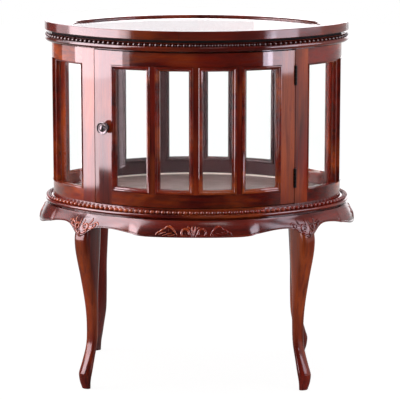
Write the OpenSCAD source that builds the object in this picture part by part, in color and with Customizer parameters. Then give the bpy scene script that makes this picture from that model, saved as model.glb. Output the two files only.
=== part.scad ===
// Oval display cabinet with a curved glazed door, cabriole legs and a lift-off glass tray.
// Millimetres. The origin is on the floor under the middle, +Z is up and the door faces -Y.
// Every rail, moulding and pane follows one oval of four arcs, at its own distance outwards.

/* [Oval] */
// Half of the tray's width
oval_a = 330; // [320:1:340]
// Half of the tray's depth
oval_b = 225; // [218:1:235]

/* [Heights] */
// Top of the tray
top_z = 785; // [770:1:860]
// Thickness of the tray's edge
tray_h = 19; // [14:0.5:22]
// Shadow gap that the pads keep under the tray
tray_gap = 6; // [3:0.5:8]
// Height of the crown moulding
crown_h = 21; // [20:0.5:30]
// Underside of the base board and top of the legs
base_z = 383; // [340:1:420]
// Height of the base moulding
base_h = 24; // [20:0.5:30]
// How far the middle of its bead stands out past the face of the rails
bead_more = 12.5; // [9:0.5:14]

// Thickness of the board in the base
board_t = 18; // [12:0.5:20]
// Thickness of the floor panel
floor_t = 3; // [2.5:0.1:4]

/* [Frame] */
// How far the face of the rails and the door lies inside the tray's edge
face_in = 15; // [12:0.5:18]
// How far the side mullions lie inside the face of the rails
mullion_in = 4; // [2:0.5:6]
// Thickness of the posts and rails
frame_t = 22; // [20:0.5:26]
// Width of a post along the oval
post_w = 33; // [28:0.5:40]
// Width of the stile that each rear post includes
rear_stile_w = 38; // [30:0.5:42]
// How much higher the bottom rail is at the rear
rear_rail_more = 6; // [0:0.5:9]
// Height of the top rails
rail_top_h = 33; // [26:0.5:36]
// Height of the bottom rails
rail_bottom_h = 27; // [24:0.5:34]
// Width of a side or rear mullion
mullion_w = 24; // [16:0.5:26]
// Angle of the side mullions from the tip of the oval
side_mullion_angle = 20.5; // [18:0.5:28]
// Depth of the glass groove in rails, posts and mullions
groove_d = 5; // [4:0.5:7]

/* [Glass] */
// Thickness of the panes
glass_t = 3; // [2.5:0.1:4]
// Clearance around a pane in its groove
glass_gap = 0.3; // [0.2:0.05:0.5]
// Distance from the face of a rail to the pane
glass_in = 9; // [8:0.5:11]

/* [Door] */
// Half of the door's opening, as an angle of the front arc
door_angle = 33.9; // [32:0.1:34.4]
// Gap around the door
door_gap = 1.6; // [1.2:0.1:2.4]
// Thickness of the door
door_t = 20; // [18:0.5:21]
// Width of a door stile
stile_w = 38; // [34:0.5:44]
// How far the door's panes lie towards its hinge
door_shift = 4; // [0:0.5:6]
// Height of the door's top rail
door_rail_top_h = 29.5; // [24:0.5:34]
// Height of the door's bottom rail
door_rail_bottom_h = 28.5; // [24:0.5:34]
// Width of a door mullion between its beads
door_mullion_w = 11; // [9:0.5:14]
// Angle of the outer door mullions from the middle
door_mullion_angle = 13.9; // [13:0.1:14.8]
// Width of the raised glazing bead
bead_w = 9.5; // [7:0.5:11]
// How far the glazing bead stands out from the face
bead_out = 2.5; // [1:0.5:4]
// Depth of the glass groove in the door's members
door_groove_d = 3; // [2:0.5:3.5]

/* [Hinges] */
// Height of a hinge
hinge_h = 41; // [35:1:50]
// Middle of the hinges below and above the ends of the door
hinge_in = 54; // [45:1:70]
// Outer radius of a hinge knuckle
knuckle_r = 2.9; // [2.6:0.1:3.4]
// Radius of the hinge pin
pin_r = 1.3; // [1.1:0.05:1.5]
// Running clearance of the pin in its knuckles
pin_gap = 0.05; // [0.03:0.01:0.08]
// Thickness of a hinge leaf
leaf_t = 1.2; // [1:0.1:1.4]
// Half of the gap between the closed leaves
leaf_gap = 0.3; // [0.2:0.05:0.5]
// Width of a hinge leaf
leaf_w = 15; // [12:0.5:17]
// Radius of a hinge screw's shank
screw_r = 1.3; // [1:0.1:1.6]
// Length of a hinge screw
screw_l = 14; // [10:0.5:18]

/* [Knob] */
// Distance from the door's edge to the middle of the knob
knob_in = 28; // [24:0.5:30]
// Radius of the knob's disc
knob_r = 14; // [11:0.25:15]
// How far the knob stands out from the door
knob_out = 20; // [18:0.5:24]
// Radius of the knob's rosette
rosette_r = 9; // [7:0.25:10]
// Radius of the knob's screw
knob_screw_r = 2; // [1.5:0.25:2.5]

/* [Catch] */
// Height of the magnetic catch
catch_h = 38; // [30:1:50]
// Thickness of the magnetic catch
catch_t = 12; // [9:0.5:15]
// Thickness of the strike plate
strike_t = 1.4; // [0.8:0.1:1.6]

/* [Apron] */
// Height of the apron in the middle of the front
apron_h = 33; // [28:1:40]
// Height of the apron at the tips of the oval
apron_side_h = 37; // [34:1:46]
// How far the apron's lower edge rises beside a leg
apron_rise = 7; // [3:0.5:10]
// How far the apron swells out past the tray's edge
apron_out = 18; // [12:0.5:22]
// Thickness of the apron
apron_t = 20; // [16:0.5:24]

/* [Legs] */
// Angle of a leg from the middle of the front
leg_angle = 35.4; // [34:0.1:36.5]
// Width of a leg at the knee
leg_w = 34.5; // [30:0.5:38]
// Width of a leg at the ankle
ankle_w = 22; // [18:0.5:26]
// How far the knee stands out past the tray's edge
knee_out = 30.5; // [24:0.5:34]
// Depth of a leg at the knee
knee_d = 57; // [50:0.5:62]

// Radius of a leg screw
leg_screw_r = 2.5; // [2:0.25:3]
// Length of a leg screw
leg_screw_l = 42; // [34:1:50]

/* [Tray] */
// Width of the tray's frame
tray_w = 61; // [50:0.5:70]
// Thickness of the tray's glass
tray_glass_t = 4; // [3:0.5:5]
// Height of the ledge under the tray's glass
tray_ledge_h = 2.5; // [2:0.25:3.5]
// Width of the ledge under the tray's glass
tray_ledge_w = 8; // [6:0.5:10]
// Width of the flat part of the tray's rim
tray_flat_w = 8; // [5:0.5:20]
// How far the tray's rim dips from its flat part towards the glass
tray_dish = 8.5; // [4:0.5:9.5]
// Radius of a pad under the tray
pad_r = 7; // [5:0.5:10]

/* [Hidden] */
$fn = 180;

WOOD = [0.43, 0.14, 0.07];
WOOD_DARK = [0.3, 0.09, 0.05];
GLASS = [0.8, 0.88, 0.86, 0.4];
METAL = [0.3, 0.28, 0.26];

// The four-arc oval: end arcs about (end_c, 0), front and rear arcs about (0, arc_k).
// Their centres make a triangle with sides of 65, 72 and 97, so all arcs meet smoothly.
end_c = 72 / 40 * (oval_a - oval_b);
arc_k = 65 / 40 * (oval_a - oval_b);
end_r = oval_a - end_c;
arc_r = oval_b + arc_k;
join_angle = atan2(end_c, arc_k);
end_angle = 90 - join_angle;

// Heights that follow from the stack
tray_z = top_z - tray_h;
crown_top = tray_z - tray_gap;
crown_z = crown_top - crown_h;
base_top = base_z + base_h;

// Radius of the rails' face on the front arc
face_r = arc_r - face_in;

// An angle of the front arc that spans the length w at the radius r
function span(w, r = face_r) = w / r * 180 / PI;

half_gap_angle = span(door_gap / 2);
seam_angle = door_angle + half_gap_angle;
post_in_angle = seam_angle + half_gap_angle;
post_angle = post_in_angle + span(post_w);
rear_in_angle = post_in_angle - span(rear_stile_w);
door_z0 = base_top + door_gap;
door_z1 = crown_z - door_gap;
door_mid_z = (door_z0 + door_z1) / 2;
stile_angle = door_angle - span(stile_w);
shift_angle = span(door_shift);

// Openings between the rails of the fixed frames, and of the door
open_z0 = base_top + rail_bottom_h;
open_z1 = crown_z - rail_top_h;
rear_open_z0 = base_top + rail_bottom_h + rear_rail_more;
door_open_z0 = door_z0 + door_rail_bottom_h;
door_open_z1 = door_z1 - door_rail_top_h;

// Distances outwards from the tray's edge
face_u = -face_in;
frame_u = face_u - frame_t;
mullion_u = face_u - mullion_in;
door_in_u = face_u - door_t;
glass_u1 = face_u - glass_in;
glass_u0 = glass_u1 - glass_t;
ring_in_u = frame_u - 3;
crown_in_u = -55;

// Angles of the mullions and of the panes that enter their grooves
side_half = span(mullion_w / 2, end_r + face_u);
side_a0 = side_mullion_angle - side_half;
side_a1 = side_mullion_angle + side_half;
pane_in = groove_d - glass_gap;
side_pane_in = span(pane_in, end_r + glass_u1);
front_pane_in = span(pane_in, arc_r + glass_u1);
rear_half = span(mullion_w / 2);
door_half = span(door_mullion_w / 2);
door_pane_in = span(door_groove_d - glass_gap, arc_r + glass_u1);

// The joints between the arcs lie on lines from (0, arc_k) through (end_c, 0) to joint_far
far = 4 * arc_k;
joint_far = [4 * end_c, -3 * arc_k];

function front_point(r, a, y0 = arc_k) = [r * sin(a), y0 - r * cos(a)];

module wedge(points)
{
    linear_extrude(top_z)
    polygon(points);
}

// Bands of shared section: u is the distance outwards from the tray's edge
module front_ring()
{
    translate([0, arc_k, 0])
    rotate_extrude()
    translate([arc_r, 0])
    children();
}

module end_ring()
{
    translate([end_c, 0, 0])
    rotate_extrude()
    translate([end_r, 0])
    children();
}

// A small block inside the section, across the joint between a front and an end arc
module joint_tie(tie)
{
    translate([end_c, 0, tie[1]])
    rotate([0, 0, -end_angle])
    translate([end_r + tie[0], 0, 0])
    cube(tie[2], center = true);
}

// Part of the front arc between two angles from its middle
module front_arc(a0, a1)
{
    translate([0, arc_k, 0])
    rotate([0, 0, a0 - 90])
    rotate_extrude(angle = a1 - a0)
    translate([arc_r, 0])
    children();
}

module right_end_arc()
{
    intersection()
    {
        end_ring()
        children();
        wedge([[end_c, 0], joint_far, [joint_far[0], -joint_far[1]]]);
    }
}

// From the angle a of the front arc to the joint with the end arc
module front_right_arc(a)
{
    intersection()
    {
        front_ring()
        children();
        wedge([[0, arc_k], front_point(far, a), joint_far]);
    }
}

// A band round the right-hand side, from the angle a of the front arc to that of the rear.
// The tie is [u, z, size] of a block inside the section.
module right_side(a, tie)
{
    right_end_arc()
    children();
    for (m = [0, 1])
        mirror([0, m, 0])
        {
            front_right_arc(a)
            children();
            joint_tie(tie);
        }
}

module whole_oval(tie)
{
    for (mx = [0, 1])
        for (my = [0, 1])
            mirror([mx, 0, 0])
            mirror([0, my, 0])
            joint_tie(tie);
    for (m = [0, 1])
    {
        mirror([0, m, 0])
        intersection()
        {
            front_ring()
            children();
            wedge([[0, arc_k], [-joint_far[0], joint_far[1]], [-joint_far[0], -far],
                [joint_far[0], -far], joint_far]);
        }
        mirror([m, 0, 0])
        right_end_arc()
        children();
    }
}

// Rectangle of a band: from the distance u0 to u1, from the height z0 to z1
module band(u0, u1, z0, z1)
{
    translate([u0, z0])
    square([u1 - u0, z1 - z0]);
}

// A filled oval plate whose edge lies u outwards from the tray's edge
module oval_plate(u, z0, h)
{
    middle_w = (end_r + u) / 2;
    translate([0, 0, z0])
    linear_extrude(h)
    {
        square([2 * end_c + middle_w, middle_w], center = true);
        for (m = [0, 1])
        {
            mirror([0, m])
            intersection()
            {
                translate([0, arc_k])
                circle(arc_r + u);
                polygon([[-end_c, 0], [end_c, 0], joint_far, [joint_far[0], -far],
                    [-joint_far[0], -far], [-joint_far[0], joint_far[1]]]);
            }
            mirror([m, 0])
            intersection()
            {
                translate([end_c, 0])
                circle(end_r + u);
                polygon([[end_c, 0], joint_far, [joint_far[0], -joint_far[1]]]);
            }
        }
    }
}

// The end arc between two angles from the tip, and from the front's joint to the angle a
module end_arc(a0, a1)
{
    translate([end_c, 0, 0])
    rotate([0, 0, a0])
    rotate_extrude(angle = a1 - a0)
    translate([end_r, 0])
    children();
}

module front_quarter(a_front, a_end, tie)
{
    joint_tie(tie);
    front_right_arc(a_front)
    children();
    intersection()
    {
        end_ring()
        children();
        wedge([[end_c, 0], joint_far, [end_c + far * cos(a_end), -far * sin(a_end)]]);
    }
}

module left()
{
    mirror([1, 0, 0])
    children();
}

module rear()
{
    mirror([0, 1, 0])
    children();
}

// The groove that holds the panes of the fixed frames
module groove(z0, z1)
{
    band(glass_u0 - glass_gap, glass_u1 + glass_gap, z0, z1);
}

// Base

module base_section()
{
    bead_u = face_u + bead_more;
    bead_z = base_top - 6;
    nose_u = bead_u + 4.5;
    nose_z = base_z + 8;
    polygon([[ring_in_u, base_z], [nose_u - 4, base_z],
        for (a = [-60:20:60]) [nose_u - 6 + 6 * cos(a), nose_z + 6 * sin(a)],
        for (a = [-60:30:90]) [bead_u + 3.5 * cos(a), bead_z + 3.5 * sin(a)],
        [face_u + 2, base_top], [ring_in_u, base_top]]);
}

module leg_screw_places()
{
    for (mx = [0, 1])
        for (my = [0, 1])
            for (u = [face_u - 4, frame_u + 5])
                mirror([mx, 0, 0])
                mirror([0, my, 0])
                translate(concat(front_point(arc_r + u, leg_angle), base_top))
                children();
}

module leg_screw_shape(gap)
{
    head_h = 3.5;
    translate([0, 0, -head_h - gap])
    cylinder(r = leg_screw_r + 2 + gap, h = head_h + gap);
    translate([0, 0, -leg_screw_l])
    cylinder(r = leg_screw_r + gap, h = leg_screw_l - head_h / 2);
}

module base_moulding()
{
    color(WOOD)
    difference()
    {
        whole_oval([(ring_in_u + face_u) / 2, base_z + base_h / 2, 8])
        base_section();
        leg_screw_places()
        leg_screw_shape(0.02);
    }
}

module base_board()
{
    color(WOOD_DARK)
    oval_plate(ring_in_u, base_top - board_t, board_t);
}

module floor_panel()
{
    color([0.7, 0.68, 0.64])
    oval_plate(frame_u - glass_gap, base_top, floor_t);
}

module leg_screws()
{
    color(METAL)
    leg_screw_places()
    leg_screw_shape(0);
}

// Legs: a side outline and a front outline, cut from one block in the leg's own plane

// A smooth curve through the points p, with n steps from each to the next
function curve(p, n = 4) = [for (i = [0:len(p) - 2])
    for (j = [0:n - 1]) curve_at(p[max(i - 1, 0)], p[i], p[i + 1], p[min(i + 2, len(p) - 1)], j / n),
    p[len(p) - 1]];

function curve_at(a, b, c, d, t) = 0.5 * (2 * b + (c - a) * t
    + (2 * a - 5 * b + 4 * c - d) * t * t + (3 * b - 3 * c + d - a) * t * t * t);

knee_z = base_z - 40;
ankle_z = 126;
toe_z = 33;
ankle_u = -3.5;
ankle_d = 16.5;
toe_u = 24.5;
pad_u = 10.5;
pad_w = 14;
knee_in_u = knee_out - knee_d;
leg_top_u = ring_in_u - 8;

leg_outer = curve([[face_u + 6, base_z], [knee_out - 4, base_z - 22], [knee_out, knee_z],
    [knee_out - 4, knee_z - 42], [knee_out - 19, knee_z - 103], [ankle_u + 2, ankle_z + 50],
    [ankle_u, ankle_z], [ankle_u + 4, ankle_z - 36], [toe_u - 9, toe_z + 20], [toe_u, toe_z],
    [toe_u - 2, toe_z - 14], [pad_u + pad_w / 2, 2]]);
leg_inner = curve([[pad_u - pad_w / 2, 2], [pad_u - 4, toe_z - 19], [toe_u - 25, toe_z + 7],
    [ankle_u - ankle_d + 10, ankle_z - 54], [ankle_u - ankle_d + 2, ankle_z - 26],
    [ankle_u - ankle_d, ankle_z + 6],
    [ankle_u - ankle_d + 1.5, ankle_z + 78], [knee_in_u + 5, knee_z - 85],
    [knee_in_u + 2, knee_z - 40], [knee_in_u, knee_z - 6]]);
leg_edge = curve([[pad_w / 2, 2], [ankle_w / 2 + 1, toe_z - 15],
    [ankle_w / 2 + 1.5, toe_z + 12], [ankle_w / 2, ankle_z - 36], [ankle_w / 2, ankle_z],
    [ankle_w / 2 + 2, ankle_z + 54], [leg_w / 2 - 2, knee_z - 93],
    [leg_w / 2, knee_z - 20]], 3);

module leg_side_2d()
{
    polygon(concat(leg_outer, [[pad_u + pad_w / 2, 0], [pad_u - pad_w / 2, 0]], leg_inner,
        [[leg_top_u, knee_z], [leg_top_u, base_z]]));
}

module leg_front_2d()
{
    right = concat([[pad_w / 2, 0]], leg_edge, [[leg_w / 2, base_z]]);
    n = len(right);
    polygon(concat(right, [for (i = [1:n]) [-right[n - i][0], right[n - i][1]]]));
}

// Places children in the leg's plane: x outwards from the tray's edge, y along the oval
module leg_plane()
{
    translate([0, arc_k, 0])
    rotate([0, 0, leg_angle - 90])
    translate([arc_r, 0, 0])
    children();
}

module leg()
{
    color(WOOD)
    difference()
    {
        leg_plane()
        intersection()
        {
            translate([0, leg_w / 2, 0])
            rotate([90, 0, 0])
            linear_extrude(leg_w)
            leg_side_2d();
            translate([leg_top_u - 1, 0, 0])
            rotate([90, 0, 90])
            linear_extrude(knee_out - leg_top_u + 2)
            leg_front_2d();
        }
        leg_screw_places()
        leg_screw_shape(0.02);
    }
}

module leg_front_right()
{
    leg();
}

module leg_front_left()
{
    left()
    leg();
}

module leg_rear_right()
{
    rear()
    leg();
}

module leg_rear_left()
{
    rear()
    left()
    leg();
}

// Apron: a swelling section swept round the oval, cut to its wavy lower edge

module apron_section()
{
    low = base_z - apron_side_h - 1;
    outer = curve([[face_u + 8, base_z], [face_u + 12, base_z - 5], [apron_out - 11, base_z - 11],
        [apron_out - 4, base_z - 18], [apron_out - 1, base_z - 26], [apron_out, base_z - 34],
        [apron_out - 1, low]], 3);
    polygon(concat(outer, [[apron_out - apron_t, low], [apron_out - apron_t, base_z - 28],
        [face_u - apron_t + 6, base_z]]));
}

function wave(t) = (1 - cos(180 * min(max(t, 0), 1))) / 2;

// Half lengths of the aprons, and of the part of each lower edge that hangs lowest
wave_w = 100;
apron_front_half = arc_r * sin(leg_angle);
front_low = 90;
apron_side_half = arc_r * cos(leg_angle) - arc_k;
side_low = 10;

// Everything under the lower edge, with x along the apron. Behind each leg the edge runs on level.
module under_front_2d()
{
    function edge(x) = base_z - apron_h + apron_rise * wave((abs(x) - front_low) / wave_w);
    end = [oval_a, edge(apron_front_half)];
    polygon([[-end.x, 0], [-end.x, end.y],
        for (t = [-1:0.05:1]) [t * apron_front_half, edge(t * apron_front_half)],
        end, [end.x, 0]]);
}

module under_side_2d()
{
    function edge(y) = base_z - apron_side_h + 2 * apron_rise * wave((abs(y) - side_low) / wave_w);
    end = [oval_b, edge(apron_side_half)];
    polygon([[-end.x, 0], [-end.x, end.y],
        for (t = [-1:0.0625:1]) [t * apron_side_half, edge(t * apron_side_half)],
        end, [end.x, 0]]);
}

module leg_blocks()
{
    for (mx = [0, 1])
        for (my = [0, 1])
            mirror([mx, 0, 0])
            mirror([0, my, 0])
            leg_plane()
            translate([leg_top_u - 1, -leg_w / 2, base_z - 60])
            cube([knee_out - leg_top_u + 20, leg_w, 70]);
}

module front_apron()
{
    color(WOOD)
    difference()
    {
        front_arc(-leg_angle, leg_angle)
        apron_section();
        leg_blocks();
        translate([0, -arc_k, 0])
        rotate([90, 0, 0])
        linear_extrude(arc_k)
        under_front_2d();
    }
}

module right_apron()
{
    color(WOOD)
    difference()
    {
        right_side(leg_angle, [face_u + 4, base_z - 10, 6])
        apron_section();
        leg_blocks();
        translate([end_c - 10, 0, 0])
        rotate([90, 0, 90])
        linear_extrude(oval_a)
        under_side_2d();
    }
}

module apron_front()
{
    front_apron();
}

module apron_rear()
{
    rear()
    front_apron();
}

module apron_right()
{
    right_apron();
}

module apron_left()
{
    left()
    right_apron();
}

// Posts

module post()
{
    front_arc(post_in_angle, post_angle)
    band(frame_u, face_u, base_top, crown_z);
}

module side_groove()
{
    front_arc(post_angle - span(groove_d), post_angle + 1)
    groove(open_z0 - groove_d, open_z1 + groove_d);
}

module rear_groove()
{
    front_arc(rear_in_angle - 1, rear_in_angle + span(groove_d))
    groove(rear_open_z0 - groove_d, open_z1 + groove_d);
}

module rear_post_board()
{
    front_arc(rear_in_angle, post_angle)
    band(frame_u, face_u, base_top, crown_z);
}

module post_front_left()
{
    color(WOOD)
    left()
    difference()
    {
        post();
        side_groove();
    }
}

module post_front_right()
{
    color(WOOD)
    difference()
    {
        post();
        side_groove();
        hinge_pockets(1);
    }
}

module rear_post()
{
    color(WOOD)
    rear()
    difference()
    {
        rear_post_board();
        side_groove();
        rear_groove();
    }
}

module post_rear_right()
{
    rear_post();
}

module post_rear_left()
{
    left()
    rear_post();
}

// Rails, grooved for the panes

module top_rail_section()
{
    difference()
    {
        band(frame_u, face_u, open_z1, crown_z);
        groove(open_z1 - 1, open_z1 + groove_d);
    }
}

module bottom_rail_section(top = open_z0)
{
    difference()
    {
        band(frame_u, face_u, base_top, top);
        groove(top - groove_d, top + 1);
    }
}

module side_rail_top_right()
{
    color(WOOD)
    right_side(post_angle, [(frame_u + face_u) / 2, crown_z - 8, 8])
    top_rail_section();
}

module side_rail_top_left()
{
    left()
    side_rail_top_right();
}

module side_rail_bottom_right()
{
    color(WOOD)
    right_side(post_angle, [(frame_u + face_u) / 2, base_top + 8, 8])
    bottom_rail_section();
}

module side_rail_bottom_left()
{
    left()
    side_rail_bottom_right();
}

module rear_rail_top()
{
    color(WOOD)
    rear()
    front_arc(-rear_in_angle, rear_in_angle)
    top_rail_section();
}

module rear_rail_bottom()
{
    color(WOOD)
    rear()
    front_arc(-rear_in_angle, rear_in_angle)
    bottom_rail_section(rear_open_z0);
}

// Mullions, grooved on both sides

module side_mullion()
{
    color(WOOD)
    difference()
    {
        end_arc(-side_a1, -side_a0)
        band(frame_u, mullion_u, open_z0, open_z1);
        for (a = [-side_a1, -side_a0])
            end_arc(a - side_groove_a, a + side_groove_a)
            groove(open_z0 - 1, open_z1 + 1);
    }
}

side_groove_a = span(groove_d, end_r + glass_u1);

module side_mullion_right_front()
{
    side_mullion();
}

module side_mullion_right_rear()
{
    rear()
    side_mullion();
}

module side_mullion_left_front()
{
    left()
    side_mullion();
}

module side_mullion_left_rear()
{
    left()
    rear()
    side_mullion();
}

module rear_mullions()
{
    color(WOOD)
    rear()
    for (c = [-1, 0, 1])
        difference()
        {
            front_arc(c * door_mullion_angle - rear_half, c * door_mullion_angle + rear_half)
            band(frame_u, mullion_u, rear_open_z0, open_z1);
            for (e = [-1, 1])
                let (a = c * door_mullion_angle + e * rear_half)
                    front_arc(a - span(groove_d), a + span(groove_d))
                    groove(rear_open_z0 - 1, open_z1 + 1);
        }
}

// Panes of the fixed frames

module pane_band(low = open_z0)
{
    band(glass_u0, glass_u1, low - pane_in, open_z1 + pane_in);
}

module side_glass_right_front()
{
    color(GLASS)
    front_quarter(post_angle - front_pane_in, side_a1 - side_pane_in,
        [(glass_u0 + glass_u1) / 2, door_mid_z, glass_t / 2])
    pane_band();
}

module side_glass_right_middle()
{
    color(GLASS)
    end_arc(-side_a0 - side_pane_in, side_a0 + side_pane_in)
    pane_band();
}

module side_glass_right_rear()
{
    rear()
    side_glass_right_front();
}

module side_glass_left_front()
{
    left()
    side_glass_right_front();
}

module side_glass_left_middle()
{
    left()
    side_glass_right_middle();
}

module side_glass_left_rear()
{
    left()
    side_glass_right_rear();
}

module rear_glass_inner()
{
    color(GLASS)
    rear()
    for (m = [0, 1])
        mirror([m, 0, 0])
        front_arc(rear_half - front_pane_in, door_mullion_angle - rear_half + front_pane_in)
        pane_band(rear_open_z0);
}

module rear_glass_outer()
{
    color(GLASS)
    rear()
    for (m = [0, 1])
        mirror([m, 0, 0])
        front_arc(door_mullion_angle + rear_half - front_pane_in, rear_in_angle + front_pane_in)
        pane_band(rear_open_z0);
}

// Crown

module crown_section()
{
    nose_z = crown_z + 10;
    bead_u = -5;
    bead_z = crown_top - 5;
    polygon([[crown_in_u, crown_z], [face_u, crown_z], [face_u + 1, crown_z + 2],
        for (a = [-80:20:40]) [-6.5 + 6.5 * cos(a), nose_z + 6.5 * sin(a)],
        for (a = [-50:28:90]) [bead_u - 0.5 + 3.5 * cos(a), bead_z + 3.5 * sin(a)],
        [bead_u - 3, crown_top], [crown_in_u, crown_top]]);
}

module crown_moulding()
{
    color(WOOD)
    whole_oval([(crown_in_u + face_u) / 2, crown_z + crown_h / 2, 8])
    crown_section();
}

// Hinges, in a frame with x outwards along the seam and y from the door to the post

pin_x = face_r + 1.5;
hinge_z = [door_z0 + hinge_in, door_z1 - hinge_in];
knuckle_h = hinge_h / 5;
knuckle_gap = 0.25;

module at_hinges()
{
    for (z = hinge_z)
        translate([0, arc_k, z])
        rotate([0, 0, seam_angle - 90])
        children();
}

module knuckle(i, r, gap)
{
    translate([pin_x, 0, -hinge_h / 2 + i * knuckle_h + knuckle_gap / 2 - gap])
    cylinder(r = r, h = knuckle_h - knuckle_gap + 2 * gap);
}

module screw_heights()
{
    for (z = [-1, 0, 1])
        translate([0, 0, z * hinge_h / 3])
        children();
}

// A leaf on the post's side (side = 1) or on the door's (side = -1)
module leaf(side)
{
    own = side > 0 ? [0, 2, 4] : [1, 3];
    other = side > 0 ? [1, 3] : [0, 2, 4];
    difference()
    {
        union()
        {
            for (i = own)
                knuckle(i, knuckle_r, 0);
            translate([face_r - leaf_w, side > 0 ? leaf_gap : -leaf_gap - leaf_t, -hinge_h / 2])
            cube([leaf_w + pin_x - face_r - pin_r - pin_gap, leaf_t, hinge_h]);
        }
        translate([pin_x, 0, -hinge_h])
        cylinder(r = pin_r + pin_gap, h = 2 * hinge_h);
        for (i = other)
            knuckle(i, knuckle_r + knuckle_gap, knuckle_gap);
        screw_heights()
        hinge_screw(side, 0.05);
    }
}

module hinge_screw(side, gap)
{
    head_h = 0.7;
    translate([face_r - leaf_w / 2 - 1, 0, 0])
    rotate([side > 0 ? -90 : 90, 0, 0])
    {
        translate([0, 0, leaf_gap])
        cylinder(r = 2.3 + gap, h = head_h + gap);
        translate([0, 0, leaf_gap + head_h / 2])
        cylinder(r = screw_r + gap, h = screw_l);
    }
}

// What a leaf, its knuckles and its screws take out of the wood
module hinge_pockets(side)
{
    at_hinges()
    {
        translate([face_r - leaf_w - 0.1, side > 0 ? 0 : -leaf_gap - leaf_t, -hinge_h / 2 - 0.1])
        cube([leaf_w + 10, leaf_gap + leaf_t, hinge_h + 0.2]);
        translate([pin_x, 0, -hinge_h / 2 - 0.5])
        cylinder(r = knuckle_r + 0.5, h = hinge_h + 1);
        screw_heights()
        hinge_screw(side, 0.02);
    }
}

module hinge_fixed_leaves()
{
    color(METAL)
    at_hinges()
    leaf(1);
}

module hinge_door_leaves()
{
    color(METAL)
    at_hinges()
    leaf(-1);
}

module hinge_pins()
{
    color(METAL)
    at_hinges()
    translate([pin_x, 0, -hinge_h / 2])
    cylinder(r = pin_r, h = hinge_h);
}

module hinge_screws_fixed()
{
    color(METAL)
    at_hinges()
    screw_heights()
    hinge_screw(1, 0);
}

module hinge_screws_door()
{
    color(METAL)
    at_hinges()
    screw_heights()
    hinge_screw(-1, 0);
}

// Door

module door_groove(a0, a1, z0, z1)
{
    front_arc(a0, a1)
    groove(z0, z1);
}

module door_stile(inner)
{
    difference()
    {
        front_arc(inner, door_angle)
        band(door_in_u, face_u, door_z0, door_z1);
        door_groove(inner - 1, inner + span(door_groove_d),
            door_open_z0 - door_groove_d, door_open_z1 + door_groove_d);
    }
}

module door_stile_right()
{
    color(WOOD)
    difference()
    {
        door_stile(stile_angle + shift_angle);
        hinge_pockets(-1);
    }
}

module door_stile_left()
{
    color(WOOD)
    difference()
    {
        left()
        door_stile(stile_angle - shift_angle);
        at_knob()
        knob_screw_shape(0.02);
    }
}

module door_rail_top()
{
    color(WOOD)
    front_arc(shift_angle - stile_angle, shift_angle + stile_angle)
    difference()
    {
        band(door_in_u, face_u, door_open_z1, door_z1);
        groove(door_open_z1 - 1, door_open_z1 + door_groove_d);
    }
}

module door_rail_bottom()
{
    color(WOOD)
    front_arc(shift_angle - stile_angle, shift_angle + stile_angle)
    difference()
    {
        band(door_in_u, face_u, door_z0, door_open_z0);
        groove(door_open_z0 - door_groove_d, door_open_z0 + 1);
    }
}

module door_mullion(c)
{
    color(WOOD)
    difference()
    {
        front_arc(c - door_half, c + door_half)
        band(door_in_u, face_u, door_open_z0, door_open_z1);
        for (a = [c - door_half, c + door_half])
            door_groove(a - span(door_groove_d), a + span(door_groove_d),
                door_open_z0 - 1, door_open_z1 + 1);
    }
}

module door_mullion_left()
{
    door_mullion(shift_angle - door_mullion_angle);
}

module door_mullion_centre()
{
    door_mullion(shift_angle);
}

module door_mullion_right()
{
    door_mullion(shift_angle + door_mullion_angle);
}

// The four openings of the door, from left to right
door_open_a0 = [for (a = [-stile_angle, -door_mullion_angle + door_half, door_half,
    door_mullion_angle + door_half]) a + shift_angle];
door_open_a1 = [for (a = [-door_mullion_angle - door_half, -door_half, door_mullion_angle - door_half,
    stile_angle]) a + shift_angle];

module door_glass(i)
{
    color(GLASS)
    front_arc(door_open_a0[i] - door_pane_in, door_open_a1[i] + door_pane_in)
    band(glass_u0, glass_u1, door_open_z0 - door_groove_d + glass_gap,
        door_open_z1 + door_groove_d - glass_gap);
}

module door_glass_1()
{
    door_glass(0);
}

module door_glass_2()
{
    door_glass(1);
}

module door_glass_3()
{
    door_glass(2);
}

module door_glass_4()
{
    door_glass(3);
}

module door_glazing_beads()
{
    color(WOOD)
    for (i = [0:3])
        difference()
        {
            front_arc(door_open_a0[i], door_open_a1[i])
            band(glass_u1 + glass_gap, face_u + bead_out, door_open_z0, door_open_z1);
            front_arc(door_open_a0[i] + span(bead_w), door_open_a1[i] - span(bead_w))
            band(glass_u1 - 1, face_u + bead_out + 1, door_open_z0 + bead_w,
                door_open_z1 - bead_w);
        }
}

// Knob, with z outwards from the door's face

module at_knob()
{
    translate([0, arc_k, door_mid_z])
    rotate([0, 0, -90 - door_angle + span(knob_in)])
    rotate([0, 90, 0])
    translate([0, 0, face_r])
    children();
}

module knob_screw_shape(gap)
{
    translate([0, 0, -door_t - 1])
    cylinder(r = 4 + gap, h = 3.5);
    translate([0, 0, -door_t])
    cylinder(r = knob_screw_r + gap, h = door_t + 9);
}

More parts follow.
